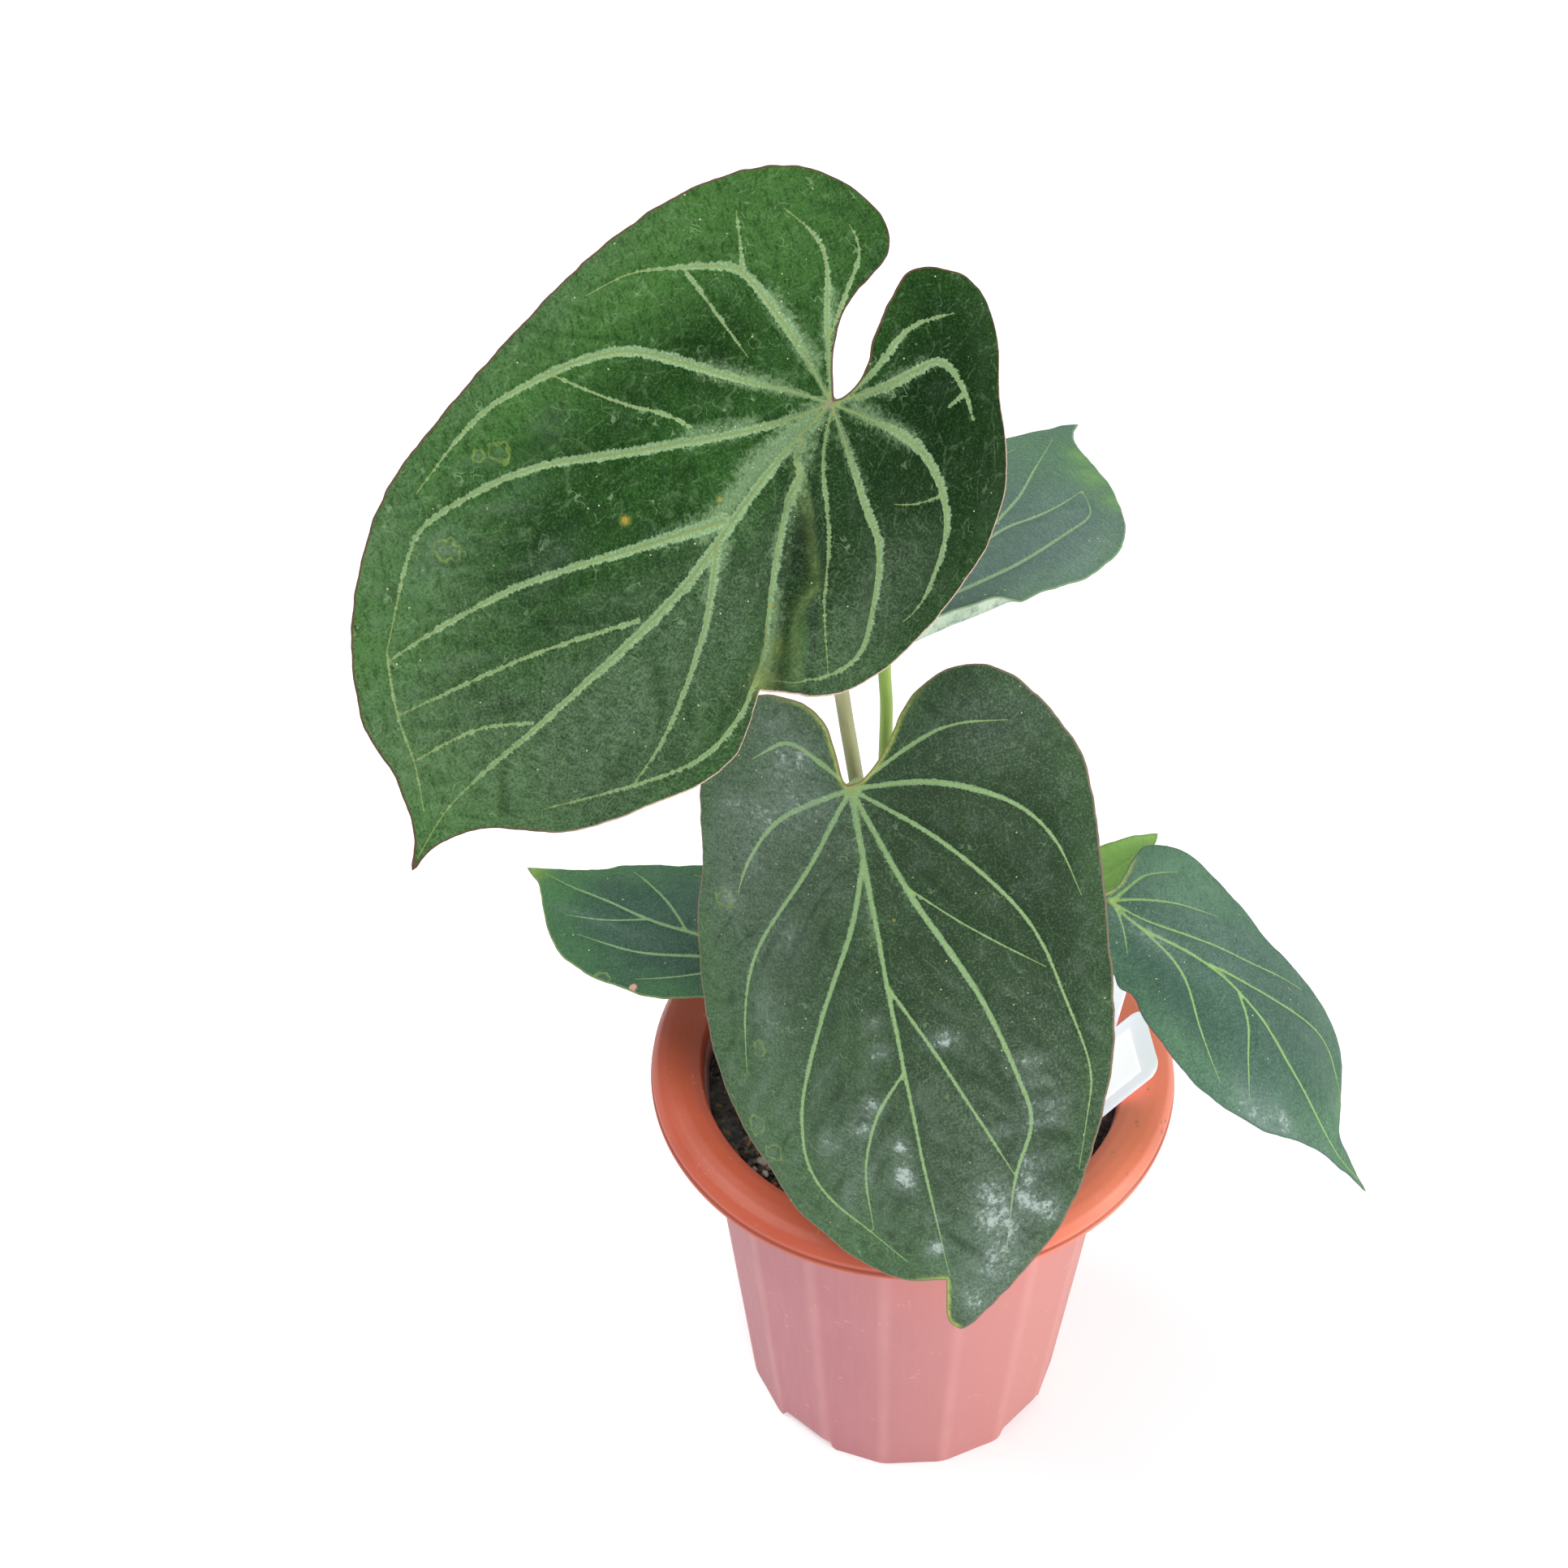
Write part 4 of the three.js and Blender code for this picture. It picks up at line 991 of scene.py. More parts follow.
# Washes over a blade, each along, across, reach along, reach across, strength: broad painted
# light and painted shade, a grey painted sheen, the bloom of dried spray, and bleached patches.
WASHES = {
    "large": dict(
        light=[(8, -62, 60, 18, 0.8), (-26, -38, 24, 24, 0.7), (64, -68, 44, 13, 0.45),
               (132, -44, 30, 15, 0.9), (152, -10, 22, 30, 0.9), (120, -64, 24, 12, 0.9)],
        dark=[(-14, 26, 40, 34, 1), (12, -33, 16, 10, 0.7), (36, -42, 24, 10, 0.4),
              (78, -32, 26, 12, 0.6), (80, -8, 24, 9, 0.5), (20, 34, 20, 18, 0.6),
              (34, 20, 12, 5, 0.6), (-28, 44, 34, 28, 1), (14, 62, 22, 10, 0.8),
              (-40, 4, 14, 16, 0.6), (34, 22, 11, 9, 0.7)],
        painted_sheen=[(40, 52, 34, 16, 0.7), (62, 16, 38, 16, 0.6), (110, 18, 36, 28, 0.85),
              (136, -6, 26, 26, 0.5), (112, -42, 20, 16, 0.4), (16, 46, 12, 8, 0.5),
              (40, -74, 60, 8, 0.35), (146, -26, 20, 18, 0.5), (118, -66, 24, 10, 0.6)],
        dust=[(104, -50, 12, 6, 0.16), (86, -26, 10, 5, 0.12), (76, -46, 9, 6, 0.10),
              (58, -52, 6, 5, 0.12)],
        pale=[(64, 41, 4.5, 4.5, 0.7), (55, 37, 3, 3, 0.7)]),
    "front": dict(
        light=[(40, -56, 50, 9, 0.7), (96, -46, 28, 14, 0.7), (130, -26, 22, 20, 0.8),
               (146, 0, 12, 16, 0.6), (60, -36, 60, 24, 0.35), (-10, -26, 20, 20, 0.35)],
        dark=[(40, 50, 34, 20, 0.8), (18, 22, 22, 14, 0.6), (60, 14, 26, 16, 0.3),
              (50, -26, 26, 10, 0.4)],
        painted_sheen=[(-8, -18, 24, 18, 1), (16, -40, 22, 16, 0.8), (20, -12, 18, 10, 0.4),
              (152, 12, 16, 16, 1), (134, 26, 16, 12, 0.6), (112, 12, 26, 34, 0.35),
              (114, -20, 16, 10, 0.6), (-12, 44, 12, 20, 0.45), (90, 34, 22, 20, 0.3),
              (70, -40, 50, 20, 0.35)],
        dust=[(77, 14, 3, 5, 0.7), (69, -6, 2.5, 4, 0.35), (78, -6, 2.5, 4, 0.4),
              (94, -12, 3, 4, 0.6), (100, -17, 3.5, 4, 0.6), (102, -28, 4, 3, 0.5),
              (116, -6, 4.5, 3, 1), (107, -5, 3, 2.5, 0.6), (139, -2, 3, 3, 0.8),
              (130, 0, 3, 3, 0.45), (124, 18, 5, 5, 0.7), (132, 17, 4, 6, 0.8),
              (127, 27, 4, 3, 0.7), (131, 33, 5, 5, 0.7), (101, 40, 2.5, 7, 0.55),
              (87, 37, 2.5, 6, 0.5), (106, 37, 2.5, 6, 0.5), (107, 25, 2.5, 5, 0.5),
              (94, 38, 2, 6, 0.4), (118, 34, 3, 5, 0.4), (145, 14, 7, 6, 0.6),
              (155, 6, 7, 5, 0.5), (138, 22, 8, 5, 0.5), (120, 30, 6, 3, 0.5),
              (-12, -20, 6, 6, 0.45), (-13, -13, 5, 4, 0.4), (-24, -20, 4, 5, 0.4),
              (1, -20, 8, 7, 0.4), (3, -10, 5, 5, 0.4), (4, -30, 6, 5, 0.5),
              (-2, -38, 5, 4, 0.4), (26, -45, 5, 3, 0.45), (40, -28, 8, 6, 0.35),
              (16, -36, 8, 4, 0.35), (60, -40, 12, 5, 0.3), (114, -18, 3, 3, 0.35)]),
    "back": dict(
        light=[(92, 2, 16, 14, 0.5)],
        dark=[(36, -12, 18, 8, 0.4)],
        painted_sheen=[(60, -24, 34, 14, 0.5)],
        dust=[(55, -31, 24, 4, 0.3), (33, -23, 10, 3, 0.25)],
        pale=[(94, -14, 6, 6, 0.7), (87, -25, 4.5, 4.5, 0.7), (101, -5, 4, 4, 0.7)]),
    "left": dict(
        light=[(78, 4, 14, 12, 0.8), (60, 18, 16, 6, 0.5), (56, -14, 16, 5, 0.5)],
        dark=[(24, 14, 20, 5, 0.4)],
        painted_sheen=[(40, -16, 22, 6, 0.5), (44, 10, 26, 4, 0.4)],
        dust=[(58, 8, 16, 1.5, 0.2)],
        pale=[(91, -2, 6, 6, 0.7)]),
    "right": dict(
        light=[(16, 34, 20, 11, 0.9), (12, 22, 18, 12, 0.7), (98, -4, 16, 12, 0.6),
               (44, -26, 24, 6, 0.5)],
        dark=[(66, 2, 26, 16, 0.45), (40, -16, 18, 8, 0.5), (24, -14, 14, 8, 0.5)],
        painted_sheen=[(30, 14, 34, 14, 0.5), (8, 26, 12, 16, 0.3), (72, -24, 14, 8, 0.9)],
        dust=[(70, -24, 9, 4, 0.55), (79, -18, 6, 3, 0.6), (12, -4, 10, 4, 0.35),
              (22, -4, 8, 4, 0.25)],
        pale=[(95, 6, 4, 4, 0.7), (112, -4, 5, 5, 0.7)]),
    "young": {},
}
# Blemishes: kind, along, across, size. A ring is the outline of a healed mark, a scorch is a
# dry spot and a pink is a dried bite.
BLEMISHES = {
    "large": [("ring", 73, -56.5, 2.6), ("ring", 77.5, -60, 1.5), ("ring", 101.5, -49, 2.9),
              ("scorch", 63, -20, 0.9), ("scorch", 41, -5, 0.5), ("scorch", 49, 27.5, 0.35)],
    "front": [("ring", 26, -47, 2.6), ("ring", 95, -52, 3.0), ("ring", 72, -45, 2.2),
              ("ring", 104, -48, 2.6), ("scorch", 40, 6, 0.3)],
    "left": [("ring", 46, 26.5, 2.6), ("pink", 34, 25.5, 1.9)],
    "right": [("scorch", 60, 19, 0.3)],
}


def blade_finish(name, grades):
    """The skin of one blade, drawn from the marks that its mesh carries. Its colour holds painted
    light, shade, sheen and highlight besides the leaf's own tones.
    """
    tones = {key: hue(*value) for key, value in grades.items() if isinstance(value, tuple)}
    material, start, shader = new_finish(f"blade_{name}", Specular_IOR_Level=grades["gloss"])
    plan = mark_wire(start, "plan")
    along, across, under = plan.split()
    silver, core, run = mark_wire(start, "vein").split()
    rim, near, halo = mark_wire(start, "field").split()
    light, dark, painted_sheen = mark_wire(start, "painted_shading").split()
    dust, pale, lip = mark_wire(start, "worn").split()
    u, v, w = mark_wire(start, "weft").split()
    pucker = mark_wire(start, "pucker", "Fac")
    flat = plan.vector("MULTIPLY", plan, (1.0, 1.0, 0.0))
    seat = flat.vector("LENGTH", flat, output="Value")

    cloud = plan.noise(26, 3)
    mottle = plan.noise(3.2, 3, 0.6)
    pebble = plan.noise(0.75, 4, 0.78)
    threads = start.join(run * 1.25, near * 0.5, along * 0.13 + across * 0.17).noise(1.0, 4, 0.7)
    patch = plan.noise(1.7, 4, 0.7)
    ripple = start.join(u * 0.7, v * 0.24, w).noise(1.0, 4, 0.7)

    colour = (cloud * 1.3 + mottle * 1.3 - 0.75).blend(tones["deep"], tones["mid"])
    # Painted light and painted shade: the light washes lift the colour to the brighter green, the
    # dark washes sink it to the deep green.
    colour = (light * (0.5 + mottle)).blend(colour, tones["edge"])
    colour = (dark * (0.45 + cloud)).blend(colour, tones["deep"])
    cell = start.join(u * 0.55 + mottle * 4.0, v + cloud * 5.0, w).cells(7.5, "DISTANCE_TO_EDGE")
    network = cell.rise(0.05, 0.0) * mottle.rise(0.38, 0.6)
    colour = (network * grades["network"]).blend(colour, tones["silver"])
    to_edge = rim.rise(13.0, 1.0) * (cloud * 1.2).rise(0.2, 0.8)
    colour = (to_edge * grades["bordered"]).blend(colour, tones["edge"])
    colour = (pebble.rise(0.50, 0.66) * (0.55 - dark * 0.22)).blend(colour, tones["grain"])
    colour = (pebble.rise(0.49, 0.34) * 0.65).blend(colour, tones["deep"])
    # The troughs of the ripples are painted darker: painted shade.
    colour = (ripple.rise(0.50, 0.36) * grades["crinkle_shade"]).blend(colour, tones["deep"])
    squiggle = start.math("ABSOLUTE", plan.noise(4.5, 1) - 0.5).rise(0.014, 0.004)
    squiggle = squiggle * plan.noise(7, 2).rise(0.54, 0.64)
    colour = (squiggle * grades["network"] * 2.5).blend(colour, tones["silver"])
    # A grey veil of painted sheen, in patches over the whole blade and where the sheen washes lie,
    # strongest on the tops of the ripples.
    sheen_patches = plan.noise(11, 4, 0.65).rise(0.5, 0.75)
    sheen_veil = sheen_patches * grades["sheen_share"] + painted_sheen * (0.15 + patch * 0.5 + ripple.rise(0.38, 0.66) * 0.35)
    sheen_veil = sheen_veil * (0.35 + pebble.rise(0.38, 0.62) * 0.8)
    colour = sheen_veil.blend(colour, tones["sheen_grey"])
    # The tops of the puckers get a painted highlight in the sheen's grey, and their troughs painted
    # shade.
    pucker_shade_share = grades["pucker_shading"]
    colour = (pucker.rise(0.08, 0.7) * (0.05 + patch * 0.5) * pucker_shade_share).blend(colour, tones["sheen_grey"])
    colour = (pucker.rise(-0.10, -0.6) * pucker_shade_share * 0.6).blend(colour, tones["deep"])

    feather = grades["feather"]
    ragged = (threads - 0.5) * feather + (mottle - 0.5) * (feather * 0.6)
    band = (silver + ragged).rise(-0.20, 0.20)
    lace = 0.55 + pebble.rise(0.3, 0.62) * 0.45
    faint = 1.0 - seat.rise(26.0, 6.0) * grades["veiled"]
    glow = (halo + (patch - 0.5) * 9.0 + (threads - 0.5) * 5.0).rise(-1.2, 3.2)
    silvery = start.math("MAXIMUM", band * lace * faint, glow * (0.15 + pebble * 0.75))
    colour = silvery.blend(colour, tones["silver"])
    colour = (silvery * pebble.rise(0.52, 0.64) * 0.35).blend(colour, hue(176, 196, 158))
    line = (core + (threads - 0.5) * 0.15).rise(-0.12, 0.12)
    colour = (line * 0.8).blend(colour, tones["core"])

    colour = (pale * (0.5 + mottle)).blend(colour, tones["bleach"])
    colour = (lip * (0.6 + pebble * 0.6)).blend(colour, hue(178, 196, 96))
    flakes = plan.noise(2.2, 5, 0.8)
    drift = (flakes - 0.5) * 2.4 + (ripple - 0.5) * 1.4
    # The whitish powder is dust, and its pull towards the tops of the puckers adds painted
    # highlight there.
    powder = (dust + drift + pucker * 0.25 - 0.48).rise(0.0, 0.45) * (0.3 + pebble)
    bloom = dust * (0.15 + patch.rise(0.35, 0.65) * 0.6)
    colour = bloom.blend(colour, hue(150, 168, 158))
    colour = powder.blend(colour, hue(182, 196, 190))
    for kind, a0, t0, reach in BLEMISHES.get(name, ()):
        far = flat.vector("DISTANCE", flat, (a0, t0, 0.0), output="Value")
        far = far + (plan.noise(reach * 1.1, 1) - 0.5) * (reach * 1.7)
        if kind == "scorch":
            colour = (far.rise(reach * 2.4, reach) * 0.4).blend(colour, hue(150, 156, 62))
            colour = (far.rise(reach * 1.15, reach * 0.75) * 0.8).blend(colour, hue(168, 134, 62))
        elif kind == "pink":
            colour = far.rise(reach * 0.9, reach * 0.5).blend(colour, hue(196, 150, 140))
        else:
            healed = start.math("ABSOLUTE", far - reach).rise(0.7, 0.1)
            colour = (healed * (mottle * 1.6 - 0.35)).blend(colour, hue(128, 152, 78))
            colour = (far.rise(reach, 0.0) * 0.25).blend(colour, tones["sheen_grey"])
    colour = (seat.rise(2.2, 0.7) * 0.6).blend(colour, tones["knot"])

    speck = plan.cells(2.6).rise(0.11, 0.06) * plan.cells(2.6, output=1).split()[0].rise(0.86, 0.90)
    colour = (speck * 0.8).blend(colour, hue(214, 212, 158))

    below = (cloud * 0.8 + mottle * 0.5 - 0.1).blend(tones["under"], tones["silver"])
    below = ((core + 0.5).rise(-0.25, 0.2) * 0.75).blend(below, tones["core"])
    below = (network * 0.5).blend(below, tones["mid"])
    colour = under.rise(0.55, 0.95).blend(colour, below)
    bead = (rim + (threads - 0.5) * 0.4).rise(0.45, 0.12)
    # On the large leaf the far side's bead is lightened, partly its own pinkish tan and partly
    # painted light where the bead faces away.
    edging = across.rise(16.0, 46.0).blend(tones["rim"], tones["far_rim_lit"])
    colour = (bead * 0.85).blend(colour, edging)
    dress(shader, colour, 0.40 + pebble * 0.18 + powder * 0.3 + silvery * 0.06,
          pebble * 0.16 + ripple * (0.9 + painted_sheen * 0.5) - network * 0.07 + mottle * 0.25
          - silvery * 0.03 + powder * 0.04)
    return material


CRUSHED = np.array([[30, 20], [46, 33], [66, 44]], float)
RIDGE = [[20.5, 6], [24, 12.5], [28, 20], [32.4, 27], [36, 32], [43.5, 33.4], [52, 42.3], [58, 48]]


def blade_bumps(leaf, plan, rim, near, sunk, quilt):
    """How far the blade's middle is raised or sunk by its fields, waves and crumples, then
    the share of the puckers and of a crumpled ridge in it."""
    fields = quilt * (1 - np.exp(-(near / 5.5) ** 1.5)) * smooth(rim, 0, 12)
    waves = cloudy(plan, 34, 2) * 1.3 + cloudy(plan, 13, 5) * 0.6
    flutter = cloudy(plan, 17, 9) * 1.3 * smooth(rim, 12, 0)
    slanted = np.stack([plan[:, 0] * 0.72 - np.abs(plan[:, 1]) * 0.69,
                        (plan[:, 1] * 0.72 + np.sign(plan[:, 1]) * plan[:, 0] * 0.69) * 0.26], 1)
    creases = np.exp(-(cloudy(slanted, 8.0, 4) / 0.09) ** 2)
    creases = creases * smooth(cloudy(plan, 19, 7), -0.1, 0.3)
    wrinkles = cloudy(slanted, 3.6, 1) * (0.35 + 0.5 * smooth(plan[:, 0], 45, 95)) - creases * 0.5
    wrinkles = wrinkles * smooth(near, 0.8, 4.0) * smooth(rim, 0, 6) * quilt / 2.0
    bumps = fields + (waves + flutter) * smooth(np.hypot(*plan.T), 6, 40) + wrinkles + sunk * 0.5
    fold = np.zeros(len(plan))
    if "crease" in leaf:
        crushed = nearest(plan, CRUSHED)[0]
        crushed = np.exp(-(crushed / 6) ** 2)
        bumps = bumps + crushed * (cloudy(plan, 5.0, 6) * 1.4 + cloudy(plan, 2.4, 3) * 0.5)
        ridge = nearest(plan, run_through(RIDGE, 1.2))[0]
        fold = 2.8 * np.exp(-(ridge / 2.1) ** 2) - 1.1 * np.exp(-((ridge - 4.4) / 1.7) ** 2)
        fold = fold * (0.8 + cloudy(plan, 3.5, 12) * 0.6)
        wrinkles = wrinkles + crushed * cloudy(plan, 2.4, 3) * 0.5
    return bumps + fold, wrinkles, fold


SLIMMED = {"large": 0.82}
for column, (name, leaf) in enumerate(LEAVES.items()):
    grades = {kind: row[column] for kind, row in TONES.items()}
    spacing = 0.8 if name in ("young", "left") else 1.0
    outline = np.vstack([
        run_through(np.reshape(run, (-1, 2)), spacing)[:-1] for run in leaf["margin"]])
    ahead = np.roll(outline, -1, axis=0) - np.roll(outline, 1, axis=0)
    ahead /= np.maximum(np.hypot(*ahead.T), 1e-9)[:, None]
    scallop = cloudy(outline, 5, 1) * 0.35 + cloudy(outline, 1.8, 4) * 0.14
    scallop *= smooth(np.hypot(*outline.T), 6, 20)
    outline += np.stack([ahead[:, 1], -ahead[:, 0]], 1) * scallop[:, None]
    lines = [run_through(np.reshape(vein[3:], (-1, 2)), 1.2) for vein in leaf["veins"]]
    for line in lines:
        for _ in range(10):
            line[1:-1] = (line[:-2] + 2 * line[1:-1] + line[2:]) / 4
    plan, triangles = filled_sheet(outline, spacing, lines, (0.5, 1.2))

    rim = nearest(plan, np.vstack([outline, outline[:1]]))[0]
    silver, core = np.full(len(plan), -9.0), np.full(len(plan), -9.0)
    near, run, sunk = np.full(len(plan), 99.0), np.zeros(len(plan)), np.zeros(len(plan))
    for number, (vein, line) in enumerate(zip(leaf["veins"], lines)):
        gap, at = nearest(plan, line)
        part = at / max(at.max(), 1e-9)
        half = np.interp(part, (0, 0.35, 1), vein[:3]) * SLIMMED.get(name, 0.96)
        half = half - 0.4 * smooth(part, 0.8, 1)
        silver = np.maximum(silver, half - gap)
        core = np.maximum(core, 0.14 + half * 0.13 - gap)
        depth = np.minimum(0.28 + half * 0.35, 0.85)
        sunk = np.minimum(sunk, -depth * np.exp(-(gap / (0.7 + half * 0.25)) ** 2))
        run = np.where(gap < near, at + number * 37.0, run)
        near = np.minimum(near, gap)
    halo = np.full(len(plan), -9.0)
    for a0, t0, a1, t1, reach in leaf["halos"]:
        halo = np.maximum(halo, reach - nearest(plan, np.array([[a0, t0], [a1, t1]], float))[0])
    # The light, dark and grey washes are painted light, painted shade and painted sheen.
    washed = {kind: np.zeros(len(plan)) for kind in ("light", "dark", "painted_sheen", "dust", "pale")}
    for kind, spots in WASHES[name].items():
        for a0, t0, reach_along, reach_across, strength in spots:
            far = ((plan[:, 0] - a0) / reach_along) ** 2 + ((plan[:, 1] - t0) / reach_across) ** 2
            washed[kind] = 1 - (1 - washed[kind]) * (1 - strength * np.exp(-far))
    lip = np.zeros(len(plan))
    if name in ("right", "left", "back"):
        lip = smooth(rim, 1.6, 0.4) * smooth(np.hypot(*plan.T), 32, 14) * smooth(plan[:, 0], 3, 0)
    if name == "front":
        sinus = smooth(np.hypot(*plan.T), 44, 18) * smooth(plan[:, 0], 2, -2)
        tip = smooth(plan[:, 0], 147, 149) * smooth(plan[:, 1], 2, -1)
        lip = smooth(rim, 1.5, 0.3) * (sinus + tip)

    bumps, wrinkles, fold = blade_bumps(leaf, plan, rim, near, sunk, grades["quilt"])
    # Along the crumpled ridge its top is painted paler, partly bleached tissue and partly painted
    # highlight, and the trough beside it gets painted shade.
    washed["pale"] = np.maximum(washed["pale"], 0.2 * np.clip(fold / 2.4, 0, 1))
    washed["dark"] = np.maximum(washed["dark"], np.clip(-fold, 0, 1))
    faces, source, side, push = thickened(plan, triangles)
    half_thick = BLADE_THICKNESS / 2
    a, t = (plan[source] + push * half_thick * 0.9).T
    normal = np.cross(laid(leaf, a + 0.1, t) - laid(leaf, a - 0.1, t),
                      laid(leaf, a, t + 0.1) - laid(leaf, a, t - 0.1))
    normal /= np.linalg.norm(normal, axis=1)[:, None]
    rib = np.where(side > 0, sunk[source] * 0.5, np.where(side < 0, sunk[source] * 1.1, 0))
    offset = side * half_thick + bumps[source] + rib
    points = laid(leaf, a, t) + normal * offset[:, None]

    midrib = lines[0]
    bent = plan[:, 1] - np.interp(plan[:, 0], midrib[:, 0], midrib[:, 1])
    weft = np.stack([plan[:, 0] * 0.86 + np.abs(bent) * 0.5,
                     np.abs(bent) * 0.86 - plan[:, 0] * 0.5, bent * 0.12], 1)
    marks = {
        "plan": np.column_stack([plan[source], (1 - side) / 2]),
        "vein": np.stack([silver, core, run], 1)[source],
        "field": np.stack([rim, near, halo], 1)[source],
        "painted_shading": np.stack([washed[kind] for kind in ("light", "dark", "painted_sheen")], 1)[source],
        "worn": np.stack([washed["dust"], washed["pale"], lip], 1)[source],
        "weft": weft[source],
        "pucker": wrinkles[source],
    }
    blade = make_piece(f"leaf_{name}", points, faces, blade_finish(name, grades), marks)
    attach(blade, "root")
    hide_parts(f"blade_{name}")

# Plant tag: a soft white plastic card with rounded top corners and a pointed foot. It is
# pushed into the mix, leans out over the rim, and is scuffed, with soil on its foot.
TAG_WIDTH, TAG_LENGTH, TAG_CORNER, TAG_THICKNESS = 27.0, 64.0, 5.0, 0.8
TAG_POINT, TAG_TIP = 20.0, 3.0
TAG_SPOT = np.array([76.0, -4.0, 166.2])
TAG_HEADING, TAG_TILT = math.radians(8), math.radians(50)


def card_place(along, across, up):
    """A place on the leaning card; along is 0 at its top end and falls to its foot."""
    x = along * math.cos(TAG_TILT) - up * math.sin(TAG_TILT)
    z = along * math.sin(TAG_TILT) + up * math.cos(TAG_TILT)
    cosine, sine = math.cos(TAG_HEADING), math.sin(TAG_HEADING)
    return np.stack([x * cosine - across * sine, x * sine + across * cosine, z], 1) + TAG_SPOT


def card_points(outline, spacing, thickness, rest):
    """A card's points and faces; rest is how far its middle is above the tag's under face.
    The card is bent a little along its length, and its sides fall."""
    plan, triangles = filled_sheet(outline, spacing)
    faces, source, side, push = thickened(plan, triangles)
    along, across = (plan[source] + push * min(0.3, thickness / 2)).T
    bow = 0.5 * np.sin(np.clip(-along / 46, 0, 1) * math.pi) - 0.3 * (across / 13) ** 2
    return card_place(along, across, rest + side * thickness / 2 + bow), faces


half = TAG_WIDTH / 2
corner = np.linspace(0, math.pi / 2, 8)
upper = [[-TAG_CORNER + TAG_CORNER * math.cos(k), half - TAG_CORNER + TAG_CORNER * math.sin(k)]
         for k in corner]
tag_outline = np.array(
    [[p[0], -p[1]] for p in reversed(upper)] + upper
    + [[TAG_POINT - TAG_LENGTH, half], [-TAG_LENGTH, TAG_TIP], [-TAG_LENGTH, -TAG_TIP],
       [TAG_POINT - TAG_LENGTH, -half]])
tag_outline = divided(np.vstack([tag_outline, tag_outline[:1]]), 1.5)[:-1]
points, faces = card_points(tag_outline, 1.6, TAG_THICKNESS, TAG_THICKNESS / 2)

# The card glows a little by emission: painted light standing in for light shining through the
# plastic.
glowing_tag_finish, start, shader = new_finish(
    "tag_plastic", Specular_IOR_Level=0.45, Emission_Color=(0.88, 0.9, 1.0, 1.0),
    Emission_Strength=0.44)
place = body_place(start)
cloud = place.noise(12, 3)
fine = place.noise(0.6, 2)
scratch = place.vector("MULTIPLY", place, (0.3, 2.5, 0.3)).noise(1.2, 3, 0.7).rise(0.63, 0.7)
height_low = place.split()[2].rise(146.0, 138.0)
colour = (cloud * 0.8).blend(hue(228, 230, 238), hue(242, 244, 250))
colour = (scratch * 0.3).blend(colour, hue(196, 196, 200))
colour = (height_low * (cloud + 0.3)).blend(colour, hue(92, 76, 62))
dress(shader, colour, 0.34 + fine * 0.12 + scratch * 0.15, fine * 0.02 - scratch * 0.03)
tag = make_piece("plant_card", points, faces, glowing_tag_finish)
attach(tag, "root")
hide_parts("plant_tag")

# Sticker: a small white paper label with a gummed back, pressed on the card's face below its
# top end. It is left blank.
STICKER_TOP, STICKER_FOOT, STICKER_HALF, STICKER_THICKNESS = -7.0, -27.0, 9.0, 0.24
STICKER_REST = 0.13
sticker_outline = divided(np.array([
    [STICKER_FOOT, -STICKER_HALF], [STICKER_TOP, -STICKER_HALF], [STICKER_TOP, STICKER_HALF],
    [STICKER_FOOT, STICKER_HALF], [STICKER_FOOT, -STICKER_HALF]]), 1.0)[:-1]
points, faces = card_points(sticker_outline, 1.2, STICKER_THICKNESS, TAG_THICKNESS + STICKER_REST)
# The label glows a little by emission: painted light.
glowing_sticker_finish, start, shader = new_finish(
    "sticker_paper", Specular_IOR_Level=0.3, Emission_Color=(0.94, 0.93, 1.0, 1.0),
    Emission_Strength=0.56)
place = body_place(start)
pulp = place.noise(0.5, 3, 0.7)
cloud = place.noise(8, 3)
colour = (pulp * 0.5 + cloud * 0.4).blend(hue(238, 240, 246), hue(250, 250, 252))
dress(shader, colour, 0.62 + pulp * 0.15, pulp * 0.03)
sticker = make_piece("blank_sticker", points, faces, glowing_sticker_finish)
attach(sticker, "root")
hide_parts("tag_sticker")

# Label stake: a narrow white plastic strip that stands in the mix at the back of the mouth,
# with a raised edge down each side and a pointed foot.
STAKE_X, STAKE_Y, STAKE_TOP, STAKE_SHOULDER, STAKE_TIP = 61.3, 12.0, 192.0, 153.0, 110.0
STAKE_HALF, STAKE_THICKNESS = 4.5, 1.0
stake_outline = divided(softened([
    [STAKE_X - 0.5, STAKE_TIP], [STAKE_X + 0.5, STAKE_TIP], [STAKE_X + STAKE_HALF, STAKE_SHOULDER],
    [STAKE_X + STAKE_HALF, STAKE_TOP], [STAKE_X - STAKE_HALF, STAKE_TOP],
    [STAKE_X - STAKE_HALF, STAKE_SHOULDER], [STAKE_X - 0.5, STAKE_TIP]], 0.8), 1.2)[:-1]
plan, triangles = filled_sheet(stake_outline, 1.1)
faces, source, side, push = thickened(plan, triangles)
rim = nearest(plan, np.vstack([stake_outline, stake_outline[:1]]))[0]
x, z = (plan[source] + push * 0.25).T
x = x + np.clip((z - 150) * 0.13, 0, None)
half_thick = STAKE_THICKNESS / 2 - 0.22 * smooth(rim[source], 0.7, 1.3)
points = np.stack([x, STAKE_Y - side * half_thick, z], 1)
# The strip shares the card's finish and glows a little with it: painted light.
stake = make_piece("label_strip", points, faces, glowing_tag_finish)
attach(stake, "root")
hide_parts("label_stake")

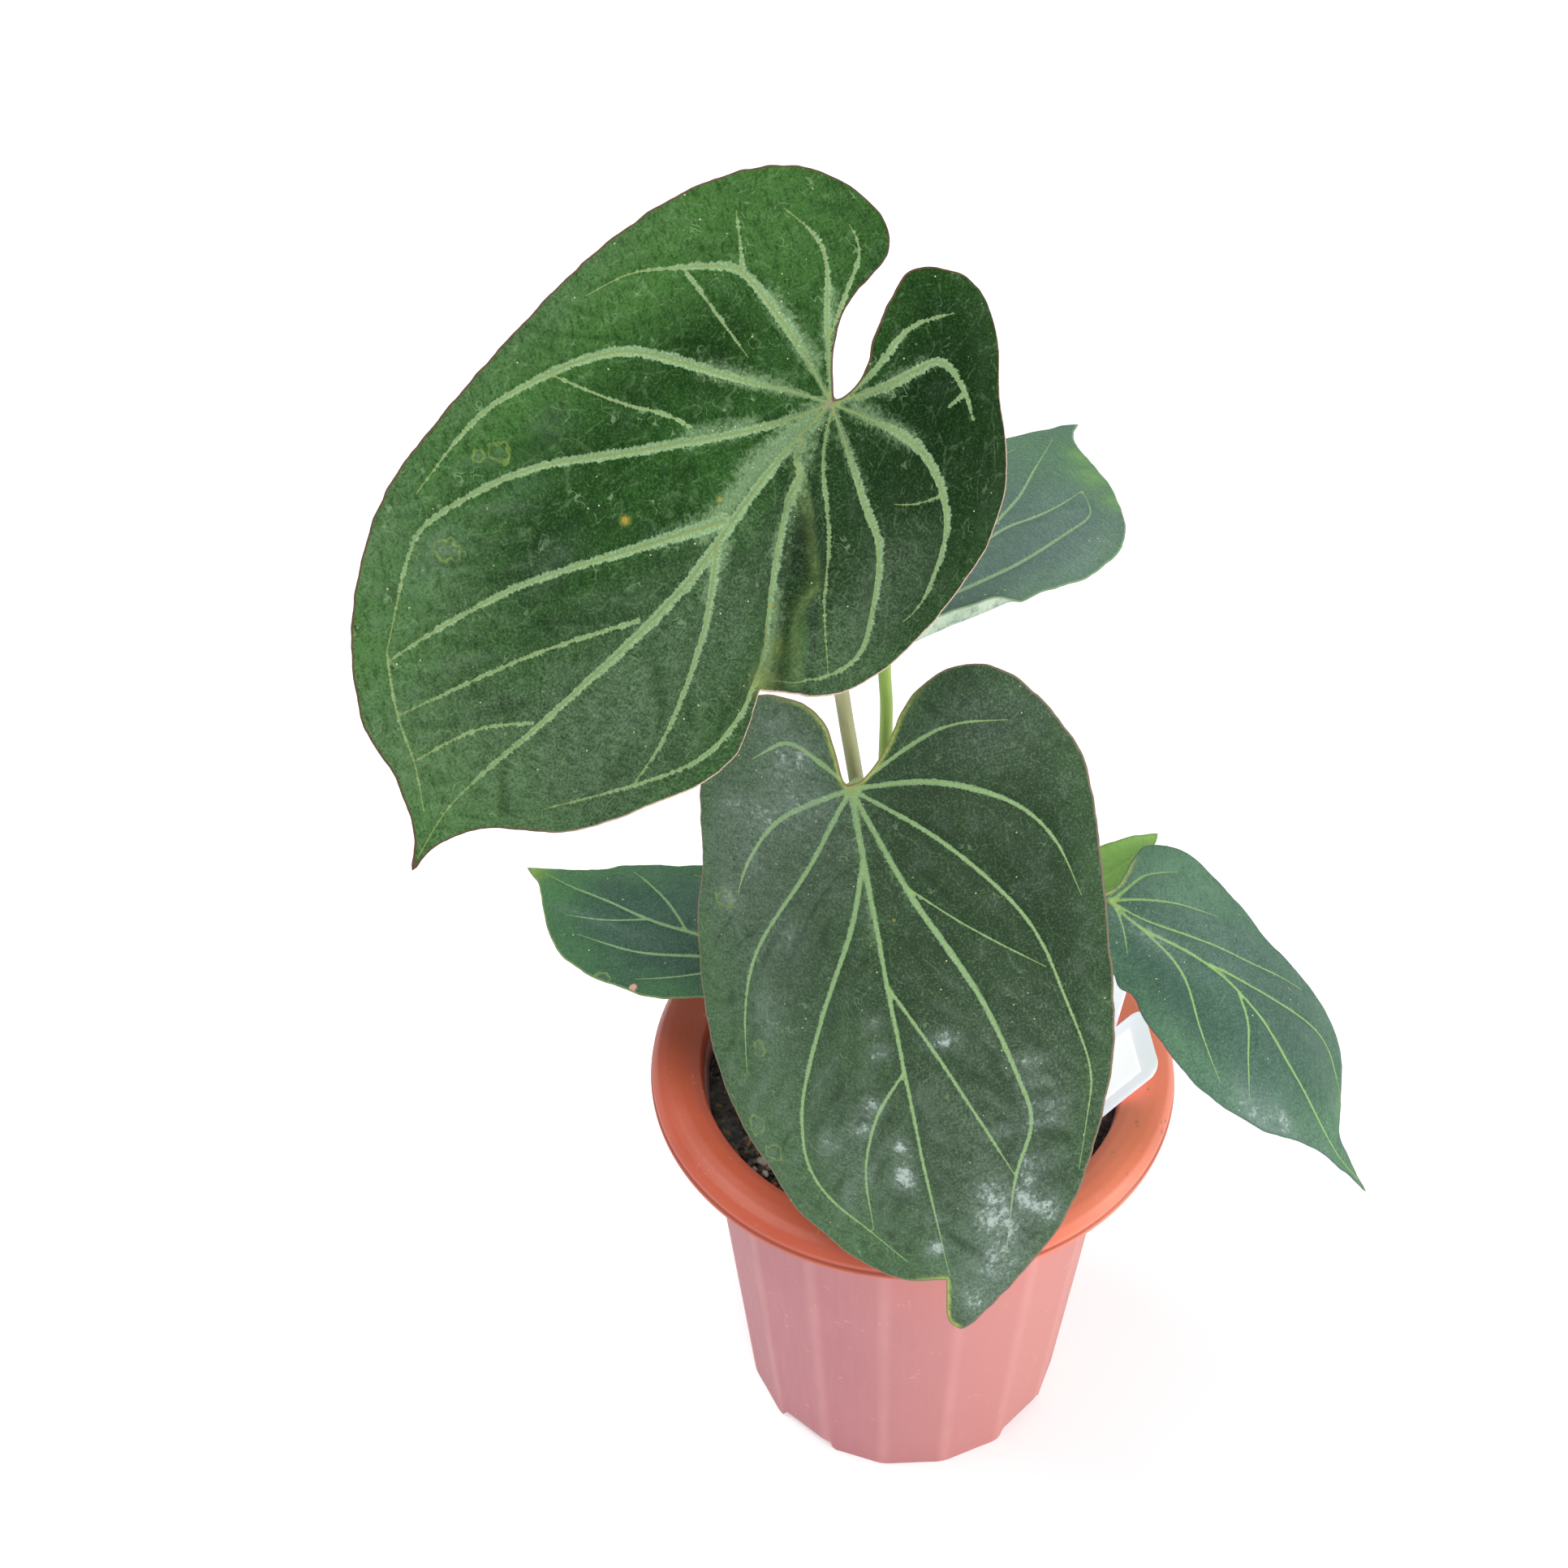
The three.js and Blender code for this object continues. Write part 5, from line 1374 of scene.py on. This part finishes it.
# Bark chips: four larger flakes of pine bark, broken with the rest of the mix. They lie loose
# on it by the rim. Each is its spot, its size, its turn, its kind and its tint.
FLAKES = [
    ((-52, -18), (9, 5, 3), 30, 1, 0.3), ((-48, -34), (7, 4.5, 2.6), -40, 2, 0.6),
    ((-36, -46), (6, 5, 2.4), 75, 1, 0.1), ((30, 42), (8, 5, 2.8), 10, 0, 0.7)]
flake_random = np.random.default_rng(23)
for number, (spot, (length, width, height), turn, kind, tint) in enumerate(FLAKES, 1):
    flake, flake_faces = shard(flake_random, length, width, height * 1.3, 26)
    flake = turned(flake, math.radians(turn), 0.1, -0.08)
    flake += (spot[0], spot[1], MIX_TOP + 0.3 + height / 2)
    tints = np.tile((tint, kind, 0), (len(flake), 1))
    piece = make_piece(f"bark_flake_{number}", flake, flake_faces, shard_finish,
                       {"tint": tints}, rounded=False)
    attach(piece, "root")
    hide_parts(f"bark_chip_{number}")

# Stage: a plain pale floor, a broad soft light overhead, weaker ones at the right and in
# front, and the camera that looks down on the plant.
FLOOR_REACH = 12
floor_mesh = bpy.data.meshes.new("floor")
floor_mesh.from_pydata([
    (-FLOOR_REACH, -FLOOR_REACH, 0), (FLOOR_REACH, -FLOOR_REACH, 0),
    (FLOOR_REACH, FLOOR_REACH, 0), (-FLOOR_REACH, FLOOR_REACH, 0)], [], [(0, 1, 2, 3)])
floor = bpy.data.objects.new("floor", floor_mesh)
bpy.context.scene.collection.objects.link(floor)
floor_finish, start, shader = new_finish(
    "floor", Base_Color=(0.86, 0.86, 0.87, 1), Roughness=0.8, Emission_Color=(1, 1, 1, 1),
    Emission_Strength=0.3)
floor_mesh.materials.append(floor_finish)


def soft_light(name, spot, target, size, watts, colour):
    lamp = bpy.data.lights.new(name, "AREA")
    lamp.shape = "DISK"
    lamp.size = size
    lamp.energy = watts
    lamp.color = colour
    holder = bpy.data.objects.new(name, lamp)
    holder.location = spot
    holder.rotation_euler = (Vector(target) - Vector(spot)).to_track_quat("-Z", "Y").to_euler()
    bpy.context.scene.collection.objects.link(holder)


soft_light("overhead", (-0.6, 0.1, 1.75), (0.0, 0.0, 0.25), 1.3, 22, (1.0, 0.99, 0.97))
soft_light("right_key", (1.7, -0.2, 0.55), (0.0, 0.0, 0.15), 0.8, 12, (1.0, 0.98, 0.96))
soft_light("front_fill", (0.25, -1.15, 1.1), (0.02, 0.0, 0.2), 0.8, 9, (1.0, 1.0, 1.0))
world = bpy.data.worlds.new("studio")
world.use_nodes = True
world.node_tree.nodes["Background"].inputs["Color"].default_value = (0.92, 0.97, 1.0, 1.0)
world.node_tree.nodes["Background"].inputs["Strength"].default_value = 0.5
bpy.context.scene.world = world
bpy.context.scene.view_settings.view_transform = "Standard"

CAMERA_SPOT = np.array([-41.7, -774.7, 1050.0]) * MM + pot_axis
CAMERA_DIP = 44.93
FOCAL_PIXELS, FRAME_PIXELS, SENSOR = 4500.0, 1932.0, 36.0
camera_data = bpy.data.cameras.new("camera")
camera_data.sensor_width = SENSOR
camera_data.lens = SENSOR * FOCAL_PIXELS / FRAME_PIXELS
camera_data.clip_end = 40
camera = bpy.data.objects.new("camera", camera_data)
camera.location = CAMERA_SPOT
camera.rotation_euler = (math.radians(90 - CAMERA_DIP), 0, 0)
bpy.context.scene.collection.objects.link(camera)
bpy.context.scene.camera = camera
